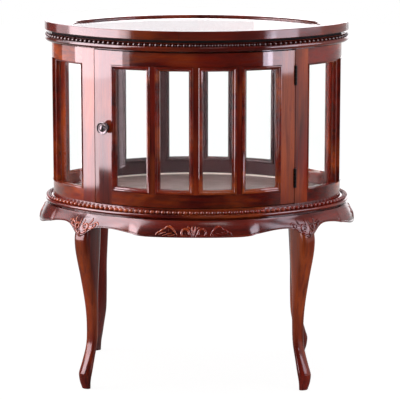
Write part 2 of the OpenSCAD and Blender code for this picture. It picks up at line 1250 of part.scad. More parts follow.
module door_knob()
{
    neck_r = 5;
    color(METAL)
    difference()
    {
        at_knob()
        rotate_extrude()
        polygon([[0, -1], [rosette_r, -1], [rosette_r, 1.5], [rosette_r - 1.5, 3],
            [neck_r + 0.7, 3.8], [neck_r, 4.5], [neck_r, knob_out - 13.2],
            [neck_r + 2.5, knob_out - 11.2], [knob_r - 2.5, knob_out - 9],
            [knob_r - 0.5, knob_out - 7.6], [knob_r, knob_out - 6.2], [knob_r - 0.4, knob_out - 5],
            [knob_r - 1.3, knob_out - 4.4], [knob_r - 2.3, knob_out - 4.8],
            [knob_r - 3.3, knob_out - 6.2], [0.62 * knob_r, knob_out - 6.5],
            [0.54 * knob_r, knob_out - 5.2], [0.46 * knob_r, knob_out - 2.8],
            [0.3 * knob_r, knob_out - 0.9], [0.14 * knob_r, knob_out], [0, knob_out]]);
        front_ring()
        band(-50, face_u, 0, top_z);
        at_knob()
        knob_screw_shape(0.02);
    }
}

module door_knob_screw()
{
    color(METAL)
    difference()
    {
        at_knob()
        knob_screw_shape(0);
        front_ring()
        band(-60, door_in_u, 0, top_z);
    }
}

// Catch behind the left post, and its strike plate on the door

module catch_band(z_half, u0, u1)
{
    band(u0, u1, door_mid_z - z_half, door_mid_z + z_half);
}

module catch_magnet()
{
    color([0.25, 0.15, 0.1])
    left()
    front_arc(seam_angle - span(12), post_in_angle + span(20))
    catch_band(catch_h / 2, frame_u - catch_t, frame_u);
}

// Room for the lacquer between the strike plate and the door
strike_gap = 0.05;

module catch_strike()
{
    color(METAL)
    left()
    front_arc(seam_angle - span(14), door_angle - span(1))
    catch_band(catch_h / 2 - 3, door_in_u - strike_t - strike_gap, door_in_u - strike_gap);
}

// Tray

module tray_frame()
{
    in_u = -tray_w;
    glass_top = tray_z + tray_ledge_h + tray_glass_t;
    color(WOOD)
    whole_oval([-tray_w / 2, tray_z + tray_h / 2, 6])
    polygon([[in_u - tray_ledge_w, tray_z], [-1, tray_z], [0, tray_z + 1], [0, top_z - 1], [-1, top_z],
        [-tray_flat_w, top_z], [in_u + 4, top_z - tray_dish], [in_u, glass_top + 1.5],
        [in_u, tray_z + tray_ledge_h], [in_u - tray_ledge_w, tray_z + tray_ledge_h]]);
}

module tray_glass()
{
    color(GLASS)
    oval_plate(-tray_w - glass_gap, tray_z + tray_ledge_h, tray_glass_t);
}

module tray_pads()
{
    color(WOOD_DARK)
    {
        for (mx = [0, 1])
            for (my = [0, 1])
                mirror([mx, 0, 0])
                mirror([0, my, 0])
                translate(concat(front_point(arc_r - 30, 30), crown_top))
                cylinder(r = pad_r, h = tray_gap);
        for (s = [-1, 1])
            translate([s * (oval_a - 30), 0, crown_top])
            cylinder(r = pad_r, h = tray_gap);
    }
}

leg_front_left();
leg_front_right();
leg_rear_left();
leg_rear_right();
apron_front();
apron_rear();
apron_left();
apron_right();
base_moulding();
base_board();
floor_panel();
leg_screws();
post_front_left();
post_front_right();
post_rear_left();
post_rear_right();
side_rail_top_left();
side_rail_top_right();
side_rail_bottom_left();
side_rail_bottom_right();
side_mullion_left_front();
side_mullion_left_rear();
side_mullion_right_front();
side_mullion_right_rear();
side_glass_left_front();
side_glass_left_middle();
side_glass_left_rear();
side_glass_right_front();
side_glass_right_middle();
side_glass_right_rear();
rear_rail_top();
rear_rail_bottom();
rear_mullions();
rear_glass_inner();
rear_glass_outer();
crown_moulding();
hinge_fixed_leaves();
hinge_pins();
hinge_screws_fixed();
catch_magnet();
door_stile_left();
door_stile_right();
door_rail_top();
door_rail_bottom();
door_mullion_left();
door_mullion_centre();
door_mullion_right();
door_glass_1();
door_glass_2();
door_glass_3();
door_glass_4();
door_glazing_beads();
door_knob();
door_knob_screw();
hinge_door_leaves();
hinge_screws_door();
catch_strike();
tray_frame();
tray_glass();
tray_pads();
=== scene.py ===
# %% [markdown]
# # An oval display cabinet in lacquered mahogany
#
# The cabinet has a curved glazed door, glazed sides and back, cabriole legs and a
# tray with a glass bottom that lifts off. The CAD model gives every piece its size
# and place. This lesson gives the pieces their finish, and models what a carver and
# a turner add: beaded mouldings, mitred glazing beads, shaped legs and carving.

# %% Load the frame
import math

import bpy
from mathutils import Matrix, Vector


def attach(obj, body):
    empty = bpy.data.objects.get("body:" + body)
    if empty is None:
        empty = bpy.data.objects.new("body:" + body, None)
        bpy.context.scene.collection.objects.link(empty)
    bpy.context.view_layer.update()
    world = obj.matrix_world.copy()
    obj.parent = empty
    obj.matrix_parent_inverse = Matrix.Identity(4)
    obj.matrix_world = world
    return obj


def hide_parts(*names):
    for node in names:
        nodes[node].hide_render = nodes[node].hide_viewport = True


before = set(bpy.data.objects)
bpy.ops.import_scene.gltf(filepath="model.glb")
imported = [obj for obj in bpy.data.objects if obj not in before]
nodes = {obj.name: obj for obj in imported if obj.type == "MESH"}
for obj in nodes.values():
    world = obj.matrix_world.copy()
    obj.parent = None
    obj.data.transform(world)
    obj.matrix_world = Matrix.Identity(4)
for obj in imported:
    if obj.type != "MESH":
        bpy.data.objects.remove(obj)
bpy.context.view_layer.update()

# %% [markdown]
# Everything on this cabinet follows one oval, drawn with four arcs. A point on it is
# found from the direction that the edge faces: 0 is the middle of the front, and the
# angle grows towards the right-hand side. The distance u is measured outwards from
# the tray's edge, as a cabinetmaker offsets one template for all the rings.

# %% The oval
MM, TINY = 0.001, 1e-7
OVAL_A, OVAL_B = 330 * MM, 225 * MM
END_C = 72 / 40 * (OVAL_A - OVAL_B)  # the sides 65, 72 and 97 set out the oval's centres
ARC_K = 65 / 40 * (OVAL_A - OVAL_B)
END_R = OVAL_A - END_C
ARC_R = OVAL_B + ARC_K
JOIN = math.atan2(END_C, ARC_K)
JOINTS = [half_turn + side for half_turn in (-math.pi, 0, math.pi, 2 * math.pi)
          for side in (-JOIN, JOIN)]


def arc_centre(phi):
    """Centre and radius of the arc that faces the direction phi."""
    phi = math.remainder(phi, 2 * math.pi)
    if abs(phi) <= JOIN:
        return Vector((0, ARC_K, 0)), ARC_R
    if abs(phi) >= math.pi - JOIN:
        return Vector((0, -ARC_K, 0)), ARC_R
    return Vector((math.copysign(END_C, phi), 0, 0)), END_R


def outward(phi):
    """Unit vector that points out of the oval in the direction phi."""
    return Vector((math.sin(phi), -math.cos(phi), 0))


def oval_point(phi, u, z):
    """Point in metres, from u and z in millimetres."""
    centre, radius = arc_centre(phi)
    return centre + outward(phi) * (radius + u * MM) + Vector((0, 0, z * MM))


print("joint between the arcs at", round(math.degrees(JOIN), 2), "degrees")

# %% [markdown]
# These are the heights and offsets of the parts that get new pieces, in millimetres, as
# the CAD model has them. The legs and the door's bars stand at angles of the oval.

# %% Sizes
CROWN_Z, CROWN_TOP = 739, 760
BASE_Z, BASE_TOP = 383, 407
FACE_U, FRAME_U = -15, -37
OPEN_Z = (434, 706)
DOOR_OPEN_Z = (437.1, 707.9)
LEG_ANGLE = math.radians(35.4)
print("glass opening of the sides:", OPEN_Z[1] - OPEN_Z[0], "mm high")

# %% [markdown]
# The camera stands where the photographer's stood, found by fitting the oval and the
# feet to the photograph: 4.75 m away, 1.5 degrees to the right and 1.32 m high.

# %% Camera
DISTANCE, TURN, HEIGHT = 4.75, math.radians(1.5), 1.32
PITCH, PAN = math.radians(11.13), math.radians(0.09)
PIXELS_PER_METRE, FRAME_PIXELS, SENSOR = 462, 400, 36
camera_data = bpy.data.cameras.new("camera")
camera_data.sensor_width = SENSOR
camera_data.lens = PIXELS_PER_METRE * DISTANCE / FRAME_PIXELS * SENSOR
camera = bpy.data.objects.new("camera", camera_data)
bpy.context.scene.collection.objects.link(camera)
camera.location = (DISTANCE * math.sin(TURN), -DISTANCE * math.cos(TURN), HEIGHT)
camera.rotation_euler = (math.radians(90) - PITCH, 0, TURN - PAN)
bpy.context.scene.camera = camera
bpy.context.scene.view_settings.view_transform = "Standard"
print("lens", round(camera_data.lens, 1), "mm")

# %% [markdown]
# ## Room and light
#
# The room, the floor and every finish are made of nodes. These helpers add a node and
# fill its sockets, with a plain value or with a link, so that each recipe further down
# reads in the order in which it is made.

# %% Node helpers


def link(tree, value, socket):
    """Links an output to the socket, or sets a plain value on it."""
    if isinstance(value, bpy.types.NodeSocket):
        tree.links.new(value, socket)
    else:
        socket.default_value = value


def add(tree, kind, sockets={}, **settings):
    """Adds a node with its settings, and fills its sockets by name or number."""
    node = tree.nodes.new("ShaderNode" + kind)
    for key, value in settings.items():
        setattr(node, key, value)
    for key, value in sockets.items():
        link(tree, value, node.inputs[key])
    return node


def math_node(tree, operation, a, b=0.0, clamp=False):
    return add(tree, "Math", {0: a, 1: b}, operation=operation, use_clamp=clamp).outputs[0]


def times(tree, a, b):
    return math_node(tree, "MULTIPLY", a, b)


def ramp(tree, value, low, high, start=0.0, end=1.0):
    """Goes softly from start to end as the value goes from low to high."""
    return add(tree, "MapRange", {"Value": value, "From Min": low, "From Max": high,
                                  "To Min": start, "To Max": end},
               interpolation_type="SMOOTHSTEP").outputs["Result"]


def new_tree(made):
    """The empty node tree of a new world or material."""
    made.use_nodes = True
    made.node_tree.nodes.clear()
    return made.node_tree


print("node helpers ready")

# %% [markdown]
# A product photographer shoots polished wood in a white room and shapes the glare with
# walls and soft boxes. The camera and the glass see plain white. Light that reaches the
# wood is even. What the lacquer mirrors is a dim front, so that its colour stays deep,
# with a pale wall at the right, a faint one at the left and a bright one at the back.

# %% World
FRONT_DIM = 0.015
world = bpy.data.worlds.new("white room")
bpy.context.scene.world = world
room = new_tree(world)
ray = add(room, "LightPath").outputs
toward = add(room, "SeparateXYZ", {0: add(room, "TexCoord").outputs["Generated"]}).outputs
bearing = math_node(room, "ARCTAN2", toward["X"], times(room, toward["Y"], -1.0))


def wall(low, high, bright):
    """Brightness that grows between two bearings, in degrees to the right of the front."""
    return ramp(room, bearing, math.radians(low), math.radians(high), 0.0, bright)


def room_light(colour, strength):
    return add(room, "Background", {"Color": (*colour, 1), "Strength": strength}).outputs[0]


right_wall = times(room, wall(46, 62, 0.65), ramp(room, toward["Z"], -0.205, -0.15, 0.3, 1.0))
back_wall = ramp(room, toward["Y"], 0.80, 0.88, 0.0, 1.35)
back_high = times(room, back_wall, ramp(room, toward["Z"], 0.16, 0.26, 0.0, 2.4))
walls = math_node(room, "ADD", right_wall, wall(-84, -98, 0.12))
walls = math_node(room, "ADD", math_node(room, "ADD", walls, back_wall), back_high)
walls = times(room, walls, ramp(room, toward["Z"], 0.35, 0.75, 1.0, 0.25))
mirrored = room_light((1, 0.95, 0.98), math_node(room, "ADD", walls, FRONT_DIM))
even = room_light((1, 0.97, 0.97), ramp(room, toward["Y"], -0.9, 0.3, 0.6, 0.95))
white = room_light((1, 1, 1), 1.0)
light = add(room, "MixShader", {0: ray["Is Glossy Ray"], 1: even, 2: mirrored}).outputs[0]
for kind in ("Is Transmission Ray", "Is Camera Ray"):
    light = add(room, "MixShader", {0: ray[kind], 1: light, 2: white}).outputs[0]
add(room, "OutputWorld", {"Surface": light})
print("world nodes:", len(room.nodes))

# %% [markdown]
# The floor is a white sweep. Most of what the camera sees of it is plain white, and the
# rest is ordinary light, so that the feet keep a faint shadow. Polished wood mirrors it
# dimmer in front and brighter towards the back. It ends a little in front of the
# cabinet, where the camera doesn't look.

# %% Floor
FLOOR_WIDTH, FLOOR_LENGTH, FLOOR_MIDDLE = 7, 7.4, 3.0
bpy.ops.object.select_all(action="DESELECT")
bpy.ops.mesh.primitive_plane_add(size=1)
floor = bpy.context.object
floor.name = "floor"
for vertex in floor.data.vertices:
    vertex.co = (vertex.co.x * FLOOR_WIDTH, FLOOR_MIDDLE + vertex.co.y * FLOOR_LENGTH, 0)
paper = bpy.data.materials.new("white sweep")
sweep = new_tree(paper)
ray = add(sweep, "LightPath").outputs
lit = add(sweep, "BsdfDiffuse", {"Color": (0.9, 0.9, 0.91, 1)}).outputs[0]
white = add(sweep, "Emission", {"Strength": 1.05}).outputs[0]
seen = math_node(sweep, "MAXIMUM", times(sweep, ray["Is Camera Ray"], 0.88),
                 ray["Is Transmission Ray"])
light = add(sweep, "MixShader", {0: seen, 1: lit, 2: white}).outputs[0]
along_floor = add(sweep, "SeparateXYZ", {0: add(sweep, "TexCoord").outputs["Object"]})
rearwards = add(sweep, "MapRange", {"Value": along_floor.outputs["Y"], "From Min": -0.2,
                                    "From Max": 0.7, "To Min": 0.1, "To Max": 0.75})
mirrored = add(sweep, "Emission", {"Strength": rearwards.outputs["Result"]}).outputs[0]
glossy = math_node(sweep, "SUBTRACT", ray["Is Glossy Ray"], ray["Is Transmission Ray"], True)
light = add(sweep, "MixShader", {0: glossy, 1: light, 2: mirrored}).outputs[0]
add(sweep, "OutputMaterial", {"Surface": light})
floor.data.materials.append(paper)
print("floor", tuple(round(v, 2) for v in floor.dimensions))

# %% [markdown]
# Lacquer shows a lamp only where it mirrors it. So each highlight of the photograph has
# its own soft box, hung where the wood that faces that way would mirror it. These boxes
# only reflect, and add no light to the wood's own colour.

# %% Soft boxes that only reflect


def soft_box(name, place, width, tall, radiance, colour, aim=0.55, diffuse=True, glossy=True):
    """A lamp of equal radiance at any size, aimed at a height on the cabinet's axis."""
    lamp = bpy.data.lights.new(name, "AREA")
    lamp.shape = "RECTANGLE"
    lamp.size, lamp.size_y = width, tall
    lamp.energy = radiance * width * tall * math.pi
    lamp.color = colour
    box = bpy.data.objects.new(name, lamp)
    bpy.context.scene.collection.objects.link(box)
    box.location = place
    box.rotation_euler = (Vector((0, 0, aim)) - Vector(place)).to_track_quat("-Z", "Y").to_euler()
    box.visible_camera = False
    box.visible_diffuse = diffuse
    box.visible_glossy = glossy


def around(bearing, reach, z):
    """A place around the cabinet, at a bearing in degrees to the right of its front."""
    a = math.radians(bearing)
    return (reach * math.sin(a), -reach * math.cos(a), z)


# name, bearing, reach, height, width, tall, radiance, colour, aim
GLARE = [
    ("glare_post", -76.5, 1.9, 0.995, 0.64, 1.74, 9.0, (1, 0.79, 0.83), 0.995),
    ("glare_stile", -58, 1.9, 1.02, 0.6, 1.68, 8.6, (1, 0.8, 0.86), 1.02),
    ("glare_tray_left", -45.5, 1.9, 0.6, 0.25, 0.14, 5.5, (1, 0.8, 0.84), 0.6),
    ("glare_apron_low", -72, 1.35, 0.97, 1.44, 0.9, 2.6, (1, 0.86, 0.92), 0.97),
    ("glare_apron_high", -72, 1.35, 2.08, 1.44, 1.32, 7.0, (1, 0.86, 0.92), 2.08),
    ("glare_knee_left", -106, 1.2, 2.05, 0.7, 0.8, 4.5, (1, 0.86, 0.92), 0.4),
    ("glare_apron_right", 56, 1.3, 0.95, 0.44, 0.85, 5.0, (0.93, 0.86, 1), 0.7),
    ("glare_knee_right", 74, 1.3, 1.2, 0.45, 1.2, 3.5, (0.93, 0.86, 1), 0.7),
    ("glare_right", 47.5, 2.1, 0.475, 0.24, 0.15, 8.0, (0.9, 0.83, 1), 0.475),
    ("sparkle", 14, 1.3, 2.3, 0.5, 0.2, 3.5, (1, 0.93, 0.92), 0.6)]
for name, bearing, reach, z, width, tall, radiance, colour, aim in GLARE:
    soft_box(name, around(bearing, reach, z), width, tall, radiance, colour, aim, diffuse=False)
print("boxes that only reflect:", len(GLARE))

# %% [markdown]
# Three more boxes give the light itself: a warm one at the left, a weak one at the
# right and one overhead. They don't reflect, so the glare stays where the others put it.

# %% Soft boxes that only light
soft_box("key_left", around(-86, 2.6, 1.3), 1.5, 1.5, 4.4, (1, 0.88, 0.8), glossy=False)
soft_box("fill_right", around(60, 2.6, 1.4), 1.2, 1.2, 1.6, (1, 0.96, 0.95), glossy=False)
soft_box("top", (0.2, -0.1, 2.6), 1.6, 1.2, 2.2, (1, 0.98, 0.97), glossy=False)
print("lamps:", len(bpy.data.lights))

# %% [markdown]
# ## Mahogany
#
# The wood is red-brown mahogany under gloss lacquer. Its figure has three scales: broad
# soft bands, fine streaks along the grain, and short dark pores. What more than one
# finish uses becomes a node group with named sockets. These helpers mix colours, make a
# noise that is stretched along the grain, and open a group.

# %% Group helpers


def mix(tree, factor, a, b):
    """Mixes two colours. The node's sockets share names, so identifiers find them."""
    node = add(tree, "Mix", data_type="RGBA")
    for key, value in (("Factor_Float", factor), ("A_Color", a), ("B_Color", b)):
        socket = next(s for s in node.inputs if s.identifier == key)
        link(tree, (*value, 1) if isinstance(value, tuple) else value, socket)
    return next(s for s in node.outputs if s.identifier == "Result_Color")


def noise(tree, vector, scale, detail=4.0, roughness=0.55, distortion=0.0):
    spread = add(tree, "Mapping", {"Vector": vector, "Scale": scale})
    return add(tree, "TexNoise", {"Vector": spread.outputs[0], "Scale": 1.0, "Detail": detail,
                                  "Roughness": roughness, "Distortion": distortion}).outputs["Fac"]


def new_group(name, ins, outs):
    """A node group, what its input node gives and what its output node takes."""
    group = bpy.data.node_groups.new(name, "ShaderNodeTree")
    for label, kind, *value in ins:
        socket = group.interface.new_socket(label, in_out="INPUT", socket_type="NodeSocket" + kind)
        if value:
            socket.default_value = value[0]
    for label, kind in outs:
        group.interface.new_socket(label, in_out="OUTPUT", socket_type="NodeSocket" + kind)
    g_in, g_out = [group.nodes.new("NodeGroup" + end) for end in ("Input", "Output")]
    return group, g_in.outputs, g_out.inputs


print("group helpers ready")

# %% [markdown]
# The group takes a vector whose Z runs along the grain, and the wood's own colours. It
# gives the colour, the roughness and the height for the relief. Amber patches are where
# the stain took less.

# %% The wood figure
PORE = (0.012, 0.004, 0.003)
figure, g_in, g_out = new_group(
    "wood figure",
    [("Vector", "Vector"), ("Dark", "Color", (0.05, 0.01, 0.005, 1)),
     ("Light", "Color", (0.3, 0.07, 0.02, 1)), ("Amber", "Color", (0.4, 0.1, 0.02, 1)),
     ("Amber share", "Float", 0.4)],
    [("Colour", "Color"), ("Roughness", "Float"), ("Height", "Float")])
place = g_in["Vector"]
bands = ramp(figure, noise(figure, place, (16, 16, 2.2), 3.0, 0.5, 1.1), 0.33, 0.68)
streaks = ramp(figure, noise(figure, place, (130, 130, 5), 5.0, 0.6, 0.3), 0.3, 0.72)
pores = ramp(figure, noise(figure, place, (900, 900, 45), 2.0, 0.5), 0.62, 0.72)
patches = ramp(figure, noise(figure, place, (9, 9, 2.6), 3.0, 0.55, 0.8), 0.46, 0.68)
light = math_node(figure, "ADD", times(figure, bands, 0.62), times(figure, streaks, 0.38), True)
patches = times(figure, times(figure, patches, g_in["Amber share"]),
                math_node(figure, "ADD", times(figure, streaks, 0.6), 0.4))
colour = mix(figure, light, g_in["Dark"], g_in["Light"])
colour = mix(figure, patches, colour, g_in["Amber"])
colour = mix(figure, times(figure, pores, 0.45), colour, PORE)
link(figure, colour, g_out["Colour"])
link(figure, ramp(figure, streaks, 0.0, 1.0, 0.34, 0.24), g_out["Roughness"])
link(figure, math_node(figure, "SUBTRACT", times(figure, streaks, 0.3), pores), g_out["Height"])
print("figure nodes:", len(figure.nodes))

# %% [markdown]
# Rails and mouldings are bent, so their grain is too. This group turns a place on the
# cabinet into a straight board's: how far out, how high, and how far along the oval.

# %% Grain that follows the oval
MEAN_RADIUS = 0.3
bent, g_in, g_out = new_group("grain round the oval", [("Vector", "Vector")],
                              [("Vector", "Vector"), ("Angle", "Float")])
x, y, z = add(bent, "SeparateXYZ", {0: g_in["Vector"]}).outputs
angle = math_node(bent, "ARCTAN2", x, times(bent, y, -1.0))
reach = math_node(bent, "SQRT", math_node(bent, "ADD", times(bent, x, x), times(bent, y, y)))
board = add(bent, "CombineXYZ", {"X": reach, "Y": z, "Z": times(bent, angle, MEAN_RADIUS)})
link(bent, board.outputs[0], g_out["Vector"])
link(bent, angle, g_out["Angle"])
print("bent grain nodes:", len(bent.nodes))

# %% [markdown]
# Hands and dusters rub the lacquer thin on every arris, so edges are lighter and the
# light catches them. The Bevel node looks at the surface within a small radius: where
# its rounded normal departs from the true one, there is an edge. The same node rounds
# the arris, which the CAD solids leave sharp.

# %% Edge wear
worn, g_in, g_out = new_group("edge wear", [("Radius", "Float", 0.0012), ("Vector", "Vector")],
                              [("Mask", "Float"), ("Normal", "Vector")])
rounded = add(worn, "Bevel", {"Radius": g_in["Radius"]}, samples=6).outputs[0]
agree = add(worn, "VectorMath", {0: rounded, 1: add(worn, "NewGeometry").outputs["Normal"]},
            operation="DOT_PRODUCT")
edge = ramp(worn, agree.outputs["Value"], 0.97, 0.72)
patchy = ramp(worn, noise(worn, g_in["Vector"], (60, 60, 60), 3.0), 0.35, 0.65, 0.45, 1.0)
link(worn, times(worn, edge, patchy), g_out["Mask"])
link(worn, rounded, g_out["Normal"])
print("edge wear nodes:", len(worn.nodes))

# %% [markdown]
# Each kind of piece gets its own tone and its own slice of the figure. Lacquer is a clear
# coat over the colour. The tray is glued up from planks. The rear frame is darker, and its
# inner side is painted grey-brown: painted shade and a painted dull reflection, for the dim
# inside of the cabinet.

# %% Lacquered wood
DEEP, WARM, AMBER = (0.033, 0.0016, 0.001), (0.2, 0.0125, 0.0042), (0.43, 0.08, 0.014)
PLANK, GLUE, RUBBED = (0.09, 0.016, 0.010), (0.01, 0.004, 0.003), (0.34, 0.085, 0.03)
INSIDE_SHADE_GREY = (0.055, 0.036, 0.04)
PLANK_TURN = math.radians(45)


def mahogany(name, along_oval=False, tone=1.0, shift=(0, 0, 0), turned=(0, 0, 0),
             gloss=0.055, amber=0.4, segments=0.0, inside=False, coat=1.0):
    """A lacquered wood. The shift picks its slice of the figure."""
    made = bpy.data.materials.new(name)
    made.use_nodes = True
    tree = made.node_tree
    vector = add(tree, "TexCoord").outputs["Object"]
    grain = vector
    if along_oval:
        grain, angle = add(tree, "Group", {"Vector": vector}, node_tree=bent).outputs
    laid = add(tree, "Mapping", {"Vector": grain, "Location": shift, "Rotation": turned})
    dark, light, gold = [(*(c * tone for c in shade), 1) for shade in (DEEP, WARM, AMBER)]
    grown = add(tree, "Group", node_tree=figure, sockets={
        "Vector": laid.outputs[0], "Dark": dark, "Light": light, "Amber": gold,
        "Amber share": amber}).outputs
    colour = grown["Colour"]
    if segments:
        # each plank is a little darker or lighter, with a dark glue line at its end
        turn = math_node(tree, "DIVIDE", math_node(tree, "ADD", angle, segments), PLANK_TURN)
        pick = add(tree, "TexWhiteNoise", {"W": math_node(tree, "FLOOR", turn)},
                   noise_dimensions="1D")
        shade = ramp(tree, pick.outputs["Value"], 0.0, 1.0, 0.0, 0.5)
        colour = mix(tree, shade, colour, PLANK)
        near = math_node(tree, "SUBTRACT", turn, math_node(tree, "ROUND", turn))
        near = math_node(tree, "ABSOLUTE", near)
        colour = mix(tree, ramp(tree, near, 0.0022, 0.0012, 0.0, 0.6), colour, GLUE)
    # painted shade and painted dull reflection: faces turned to the front go grey-brown
    if inside:
        facing = add(tree, "SeparateXYZ", {0: add(tree, "NewGeometry").outputs["Normal"]})
        grey = mix(tree, 0.82, colour, INSIDE_SHADE_GREY)
        colour = mix(tree, ramp(tree, facing.outputs["Y"], 0.25, -0.15), colour, grey)
    wear = add(tree, "Group", {"Vector": vector}, node_tree=worn).outputs
    colour = mix(tree, times(tree, wear["Mask"], 0.5), colour, RUBBED)
    relief = add(tree, "Bump", {"Strength": 0.06, "Distance": 0.0004,
                                "Height": grown["Height"], "Normal": wear["Normal"]})
    wood = tree.nodes["Principled BSDF"].inputs
    for label, value in (("Base Color", colour), ("Roughness", grown["Roughness"]),
                         ("Normal", relief.outputs[0]), ("Coat Weight", coat),
                         ("Coat Roughness", gloss), ("Coat IOR", 1.65),
                         ("Specular IOR Level", 0.08)):
        link(tree, value, wood[label])
    return made


print("planks in the tray:", round(2 * math.pi / PLANK_TURN))

# %% [markdown]
# The woods of this cabinet, by the pieces that they are for. Uprights and legs have
# straight grain, and the others' grain follows the oval.

# %% Woods
posts_wood = mahogany("mahogany posts", tone=1.25, shift=(0.3, 0.1, 0.7), amber=0.85)
door_wood = mahogany("mahogany door uprights", shift=(1.7, 0.4, 0.2), amber=0.8)
legs_wood = mahogany("mahogany legs", tone=0.9, shift=(3.1, 2.2, 0.0), amber=0.75,
                     coat=0.65, gloss=0.12)
side_rails_wood = mahogany("mahogany side rails", True, 1.35, (0.5, 0.2, 1.3), amber=0.9)
door_rails_wood = mahogany("mahogany door rails", True, 0.92, (2.5, 1.2, 0.4), amber=0.55)
aprons_wood = mahogany("mahogany aprons", True, 0.95, (4.5, 0.2, 2.3), amber=0.5, gloss=0.17)
crown_wood = mahogany("mahogany crown", True, 0.75, (6.5, 1.1, 0.3), amber=0.3)
# near-black tone: painted shade of the dark gap under the tray
crown_bead_wood = mahogany("mahogany crown beads", True, 0.3, (9.5, 2.3, 1.3), amber=0.2)
base_wood = mahogany("mahogany base moulding", True, 1.15, (5.5, 2.9, 1.3), amber=0.55)
# lighter tone: painted light from above, together with wear
base_bead_wood = mahogany("mahogany base beads", True, 1.5, (4.5, 1.9, 1.3), amber=1.0,
                          gloss=0.12)
# lighter, more orange tone: a painted highlight that brings out the relief
carving_wood = mahogany("mahogany carvings", True, 1.35, (2.5, 4.9, 1.3), amber=0.75,
                        gloss=0.16)
sash_wood = mahogany("mahogany sash beads", True, 1.0, (3.5, 0.9, 2.3), amber=0.75)
tray_wood = mahogany("mahogany tray", True, 0.8, (8.5, 0.3, 3.3), amber=0.5,
                     segments=math.radians(8), gloss=0.11)
# darker tone for the rear frame: painted shade inside the cabinet
rear_wood = mahogany("mahogany rear frame", True, 0.62, (9.5, 2.3, 1.3), inside=True, coat=0.3)
rear_uprights_wood = mahogany("mahogany rear uprights", tone=0.6, shift=(7.5, 2.3, 1.3),
                              inside=True, coat=0.3)
board_wood = mahogany("board in the base", tone=0.9, turned=(0, math.radians(90), 0), gloss=0.3)
print("wood materials:", len([m for m in bpy.data.materials if m.name.startswith("mahogany")]))

# %% [markdown]
# ## Glass, metals and the rest
#
# Glass lets the light straight through and mirrors a little. Its shader's own sockets
# stay plain, and only a faint ripple is linked. Lamps shine through it, so that the
# inside isn't dark.

# %% Glass
THROUGH_GLASS = (0.93, 0.95, 0.94, 1)


def clear_glass(name, ior):
    made = bpy.data.materials.new(name)
    made.use_nodes = True
    tree = made.node_tree
    pane = tree.nodes["Principled BSDF"]
    smear = noise(tree, add(tree, "TexCoord").outputs["Object"], (9, 9, 9), 2.0)
    ripple = add(tree, "Bump", {"Strength": 0.02, "Distance": 0.0005, "Height": smear})
    for label, value in (("Base Color", (0.985, 0.995, 0.99, 1)), ("Roughness", 0.0),
                         ("IOR", ior), ("Transmission Weight", 1.0),
                         ("Normal", ripple.outputs[0])):
        link(tree, value, pane.inputs[label])
    passing = add(tree, "BsdfTransparent", {"Color": THROUGH_GLASS}).outputs[0]
    shadow = add(tree, "LightPath").outputs["Is Shadow Ray"]
    by_ray = add(tree, "MixShader", {0: shadow, 1: pane.outputs[0], 2: passing})
    link(tree, by_ray.outputs[0], tree.nodes["Material Output"].inputs["Surface"])
    return made


glass = clear_glass("clear glass", 1.2)
plate = clear_glass("plate glass", 1.3)
print("glass:", glass.name, "and", plate.name)

# %% [markdown]
# Metals, felt and plastic share one recipe: a mottle of a second colour, which also
# drives the roughness and the relief, and edges that are rubbed brighter.

# %% Metals, felt and plastic


def mottled(name, colour, rough, metal=0.0, speck=None, amount=0.3,
            size=(300, 300, 300), bump=0.15, wear=0.0, wear_colour=(0.5, 0.45, 0.4)):
    made = bpy.data.materials.new(name)
    made.use_nodes = True
    tree = made.node_tree
    vector = add(tree, "TexCoord").outputs["Object"]
    spots = noise(tree, vector, size, 4.0)
    mask = ramp(tree, spots, 0.4, 0.62, 0.0, amount)
    painted = mix(tree, mask, colour, speck or tuple(c * 0.6 for c in colour))
    edges = add(tree, "Group", {"Vector": vector, "Radius": 0.0006}, node_tree=worn).outputs
    if wear:
        painted = mix(tree, times(tree, edges["Mask"], wear), painted, wear_colour)
    relief = add(tree, "Bump", {"Strength": bump, "Distance": 0.0003, "Height": spots,
                                "Normal": edges["Normal"]})
    shader = tree.nodes["Principled BSDF"].inputs
    link(tree, painted, shader["Base Color"])
    link(tree, ramp(tree, spots, 0.3, 0.7, rough * 0.85, rough * 1.15), shader["Roughness"])
    link(tree, relief.outputs[0], shader["Normal"])
    link(tree, metal, shader["Metallic"])
    return made


black_steel = mottled("blackened hinge", (0.02, 0.018, 0.017), 0.38, 0.9, (0.05, 0.04, 0.035),
                      wear=0.3, wear_colour=(0.2, 0.18, 0.16))
bright_steel = mottled("zinc steel", (0.5, 0.5, 0.5), 0.3, 1.0, (0.38, 0.38, 0.4), wear=0.4)
pewter = mottled("antiqued knob metal", (0.2, 0.185, 0.19), 0.26, 0.9, (0.07, 0.062, 0.066),
                 0.5, (500, 500, 500), wear=0.8, wear_colour=(0.62, 0.55, 0.5))
catch_plastic = mottled("catch housing", (0.05, 0.03, 0.022), 0.45)
felt = mottled("black felt", (0.012, 0.01, 0.011), 0.95, speck=(0.03, 0.026, 0.028),
               size=(900, 900, 900), bump=0.5)
# painted light: a pale colour for the line of light at the rear of the floor panel
painted_light_line = mottled("painted light line", (0.8, 0.76, 0.68), 0.5, speck=(0.62, 0.58, 0.5),
                    amount=0.5)
pad_rubber = mottled("pad rubber", (0.03, 0.024, 0.02), 0.8, bump=0.4)
print("knob:", pewter.name)

# %% [markdown]
# The floor panel has a taupe veneer with its grain from side to side, a little cloudy
# where it was polished by hand.

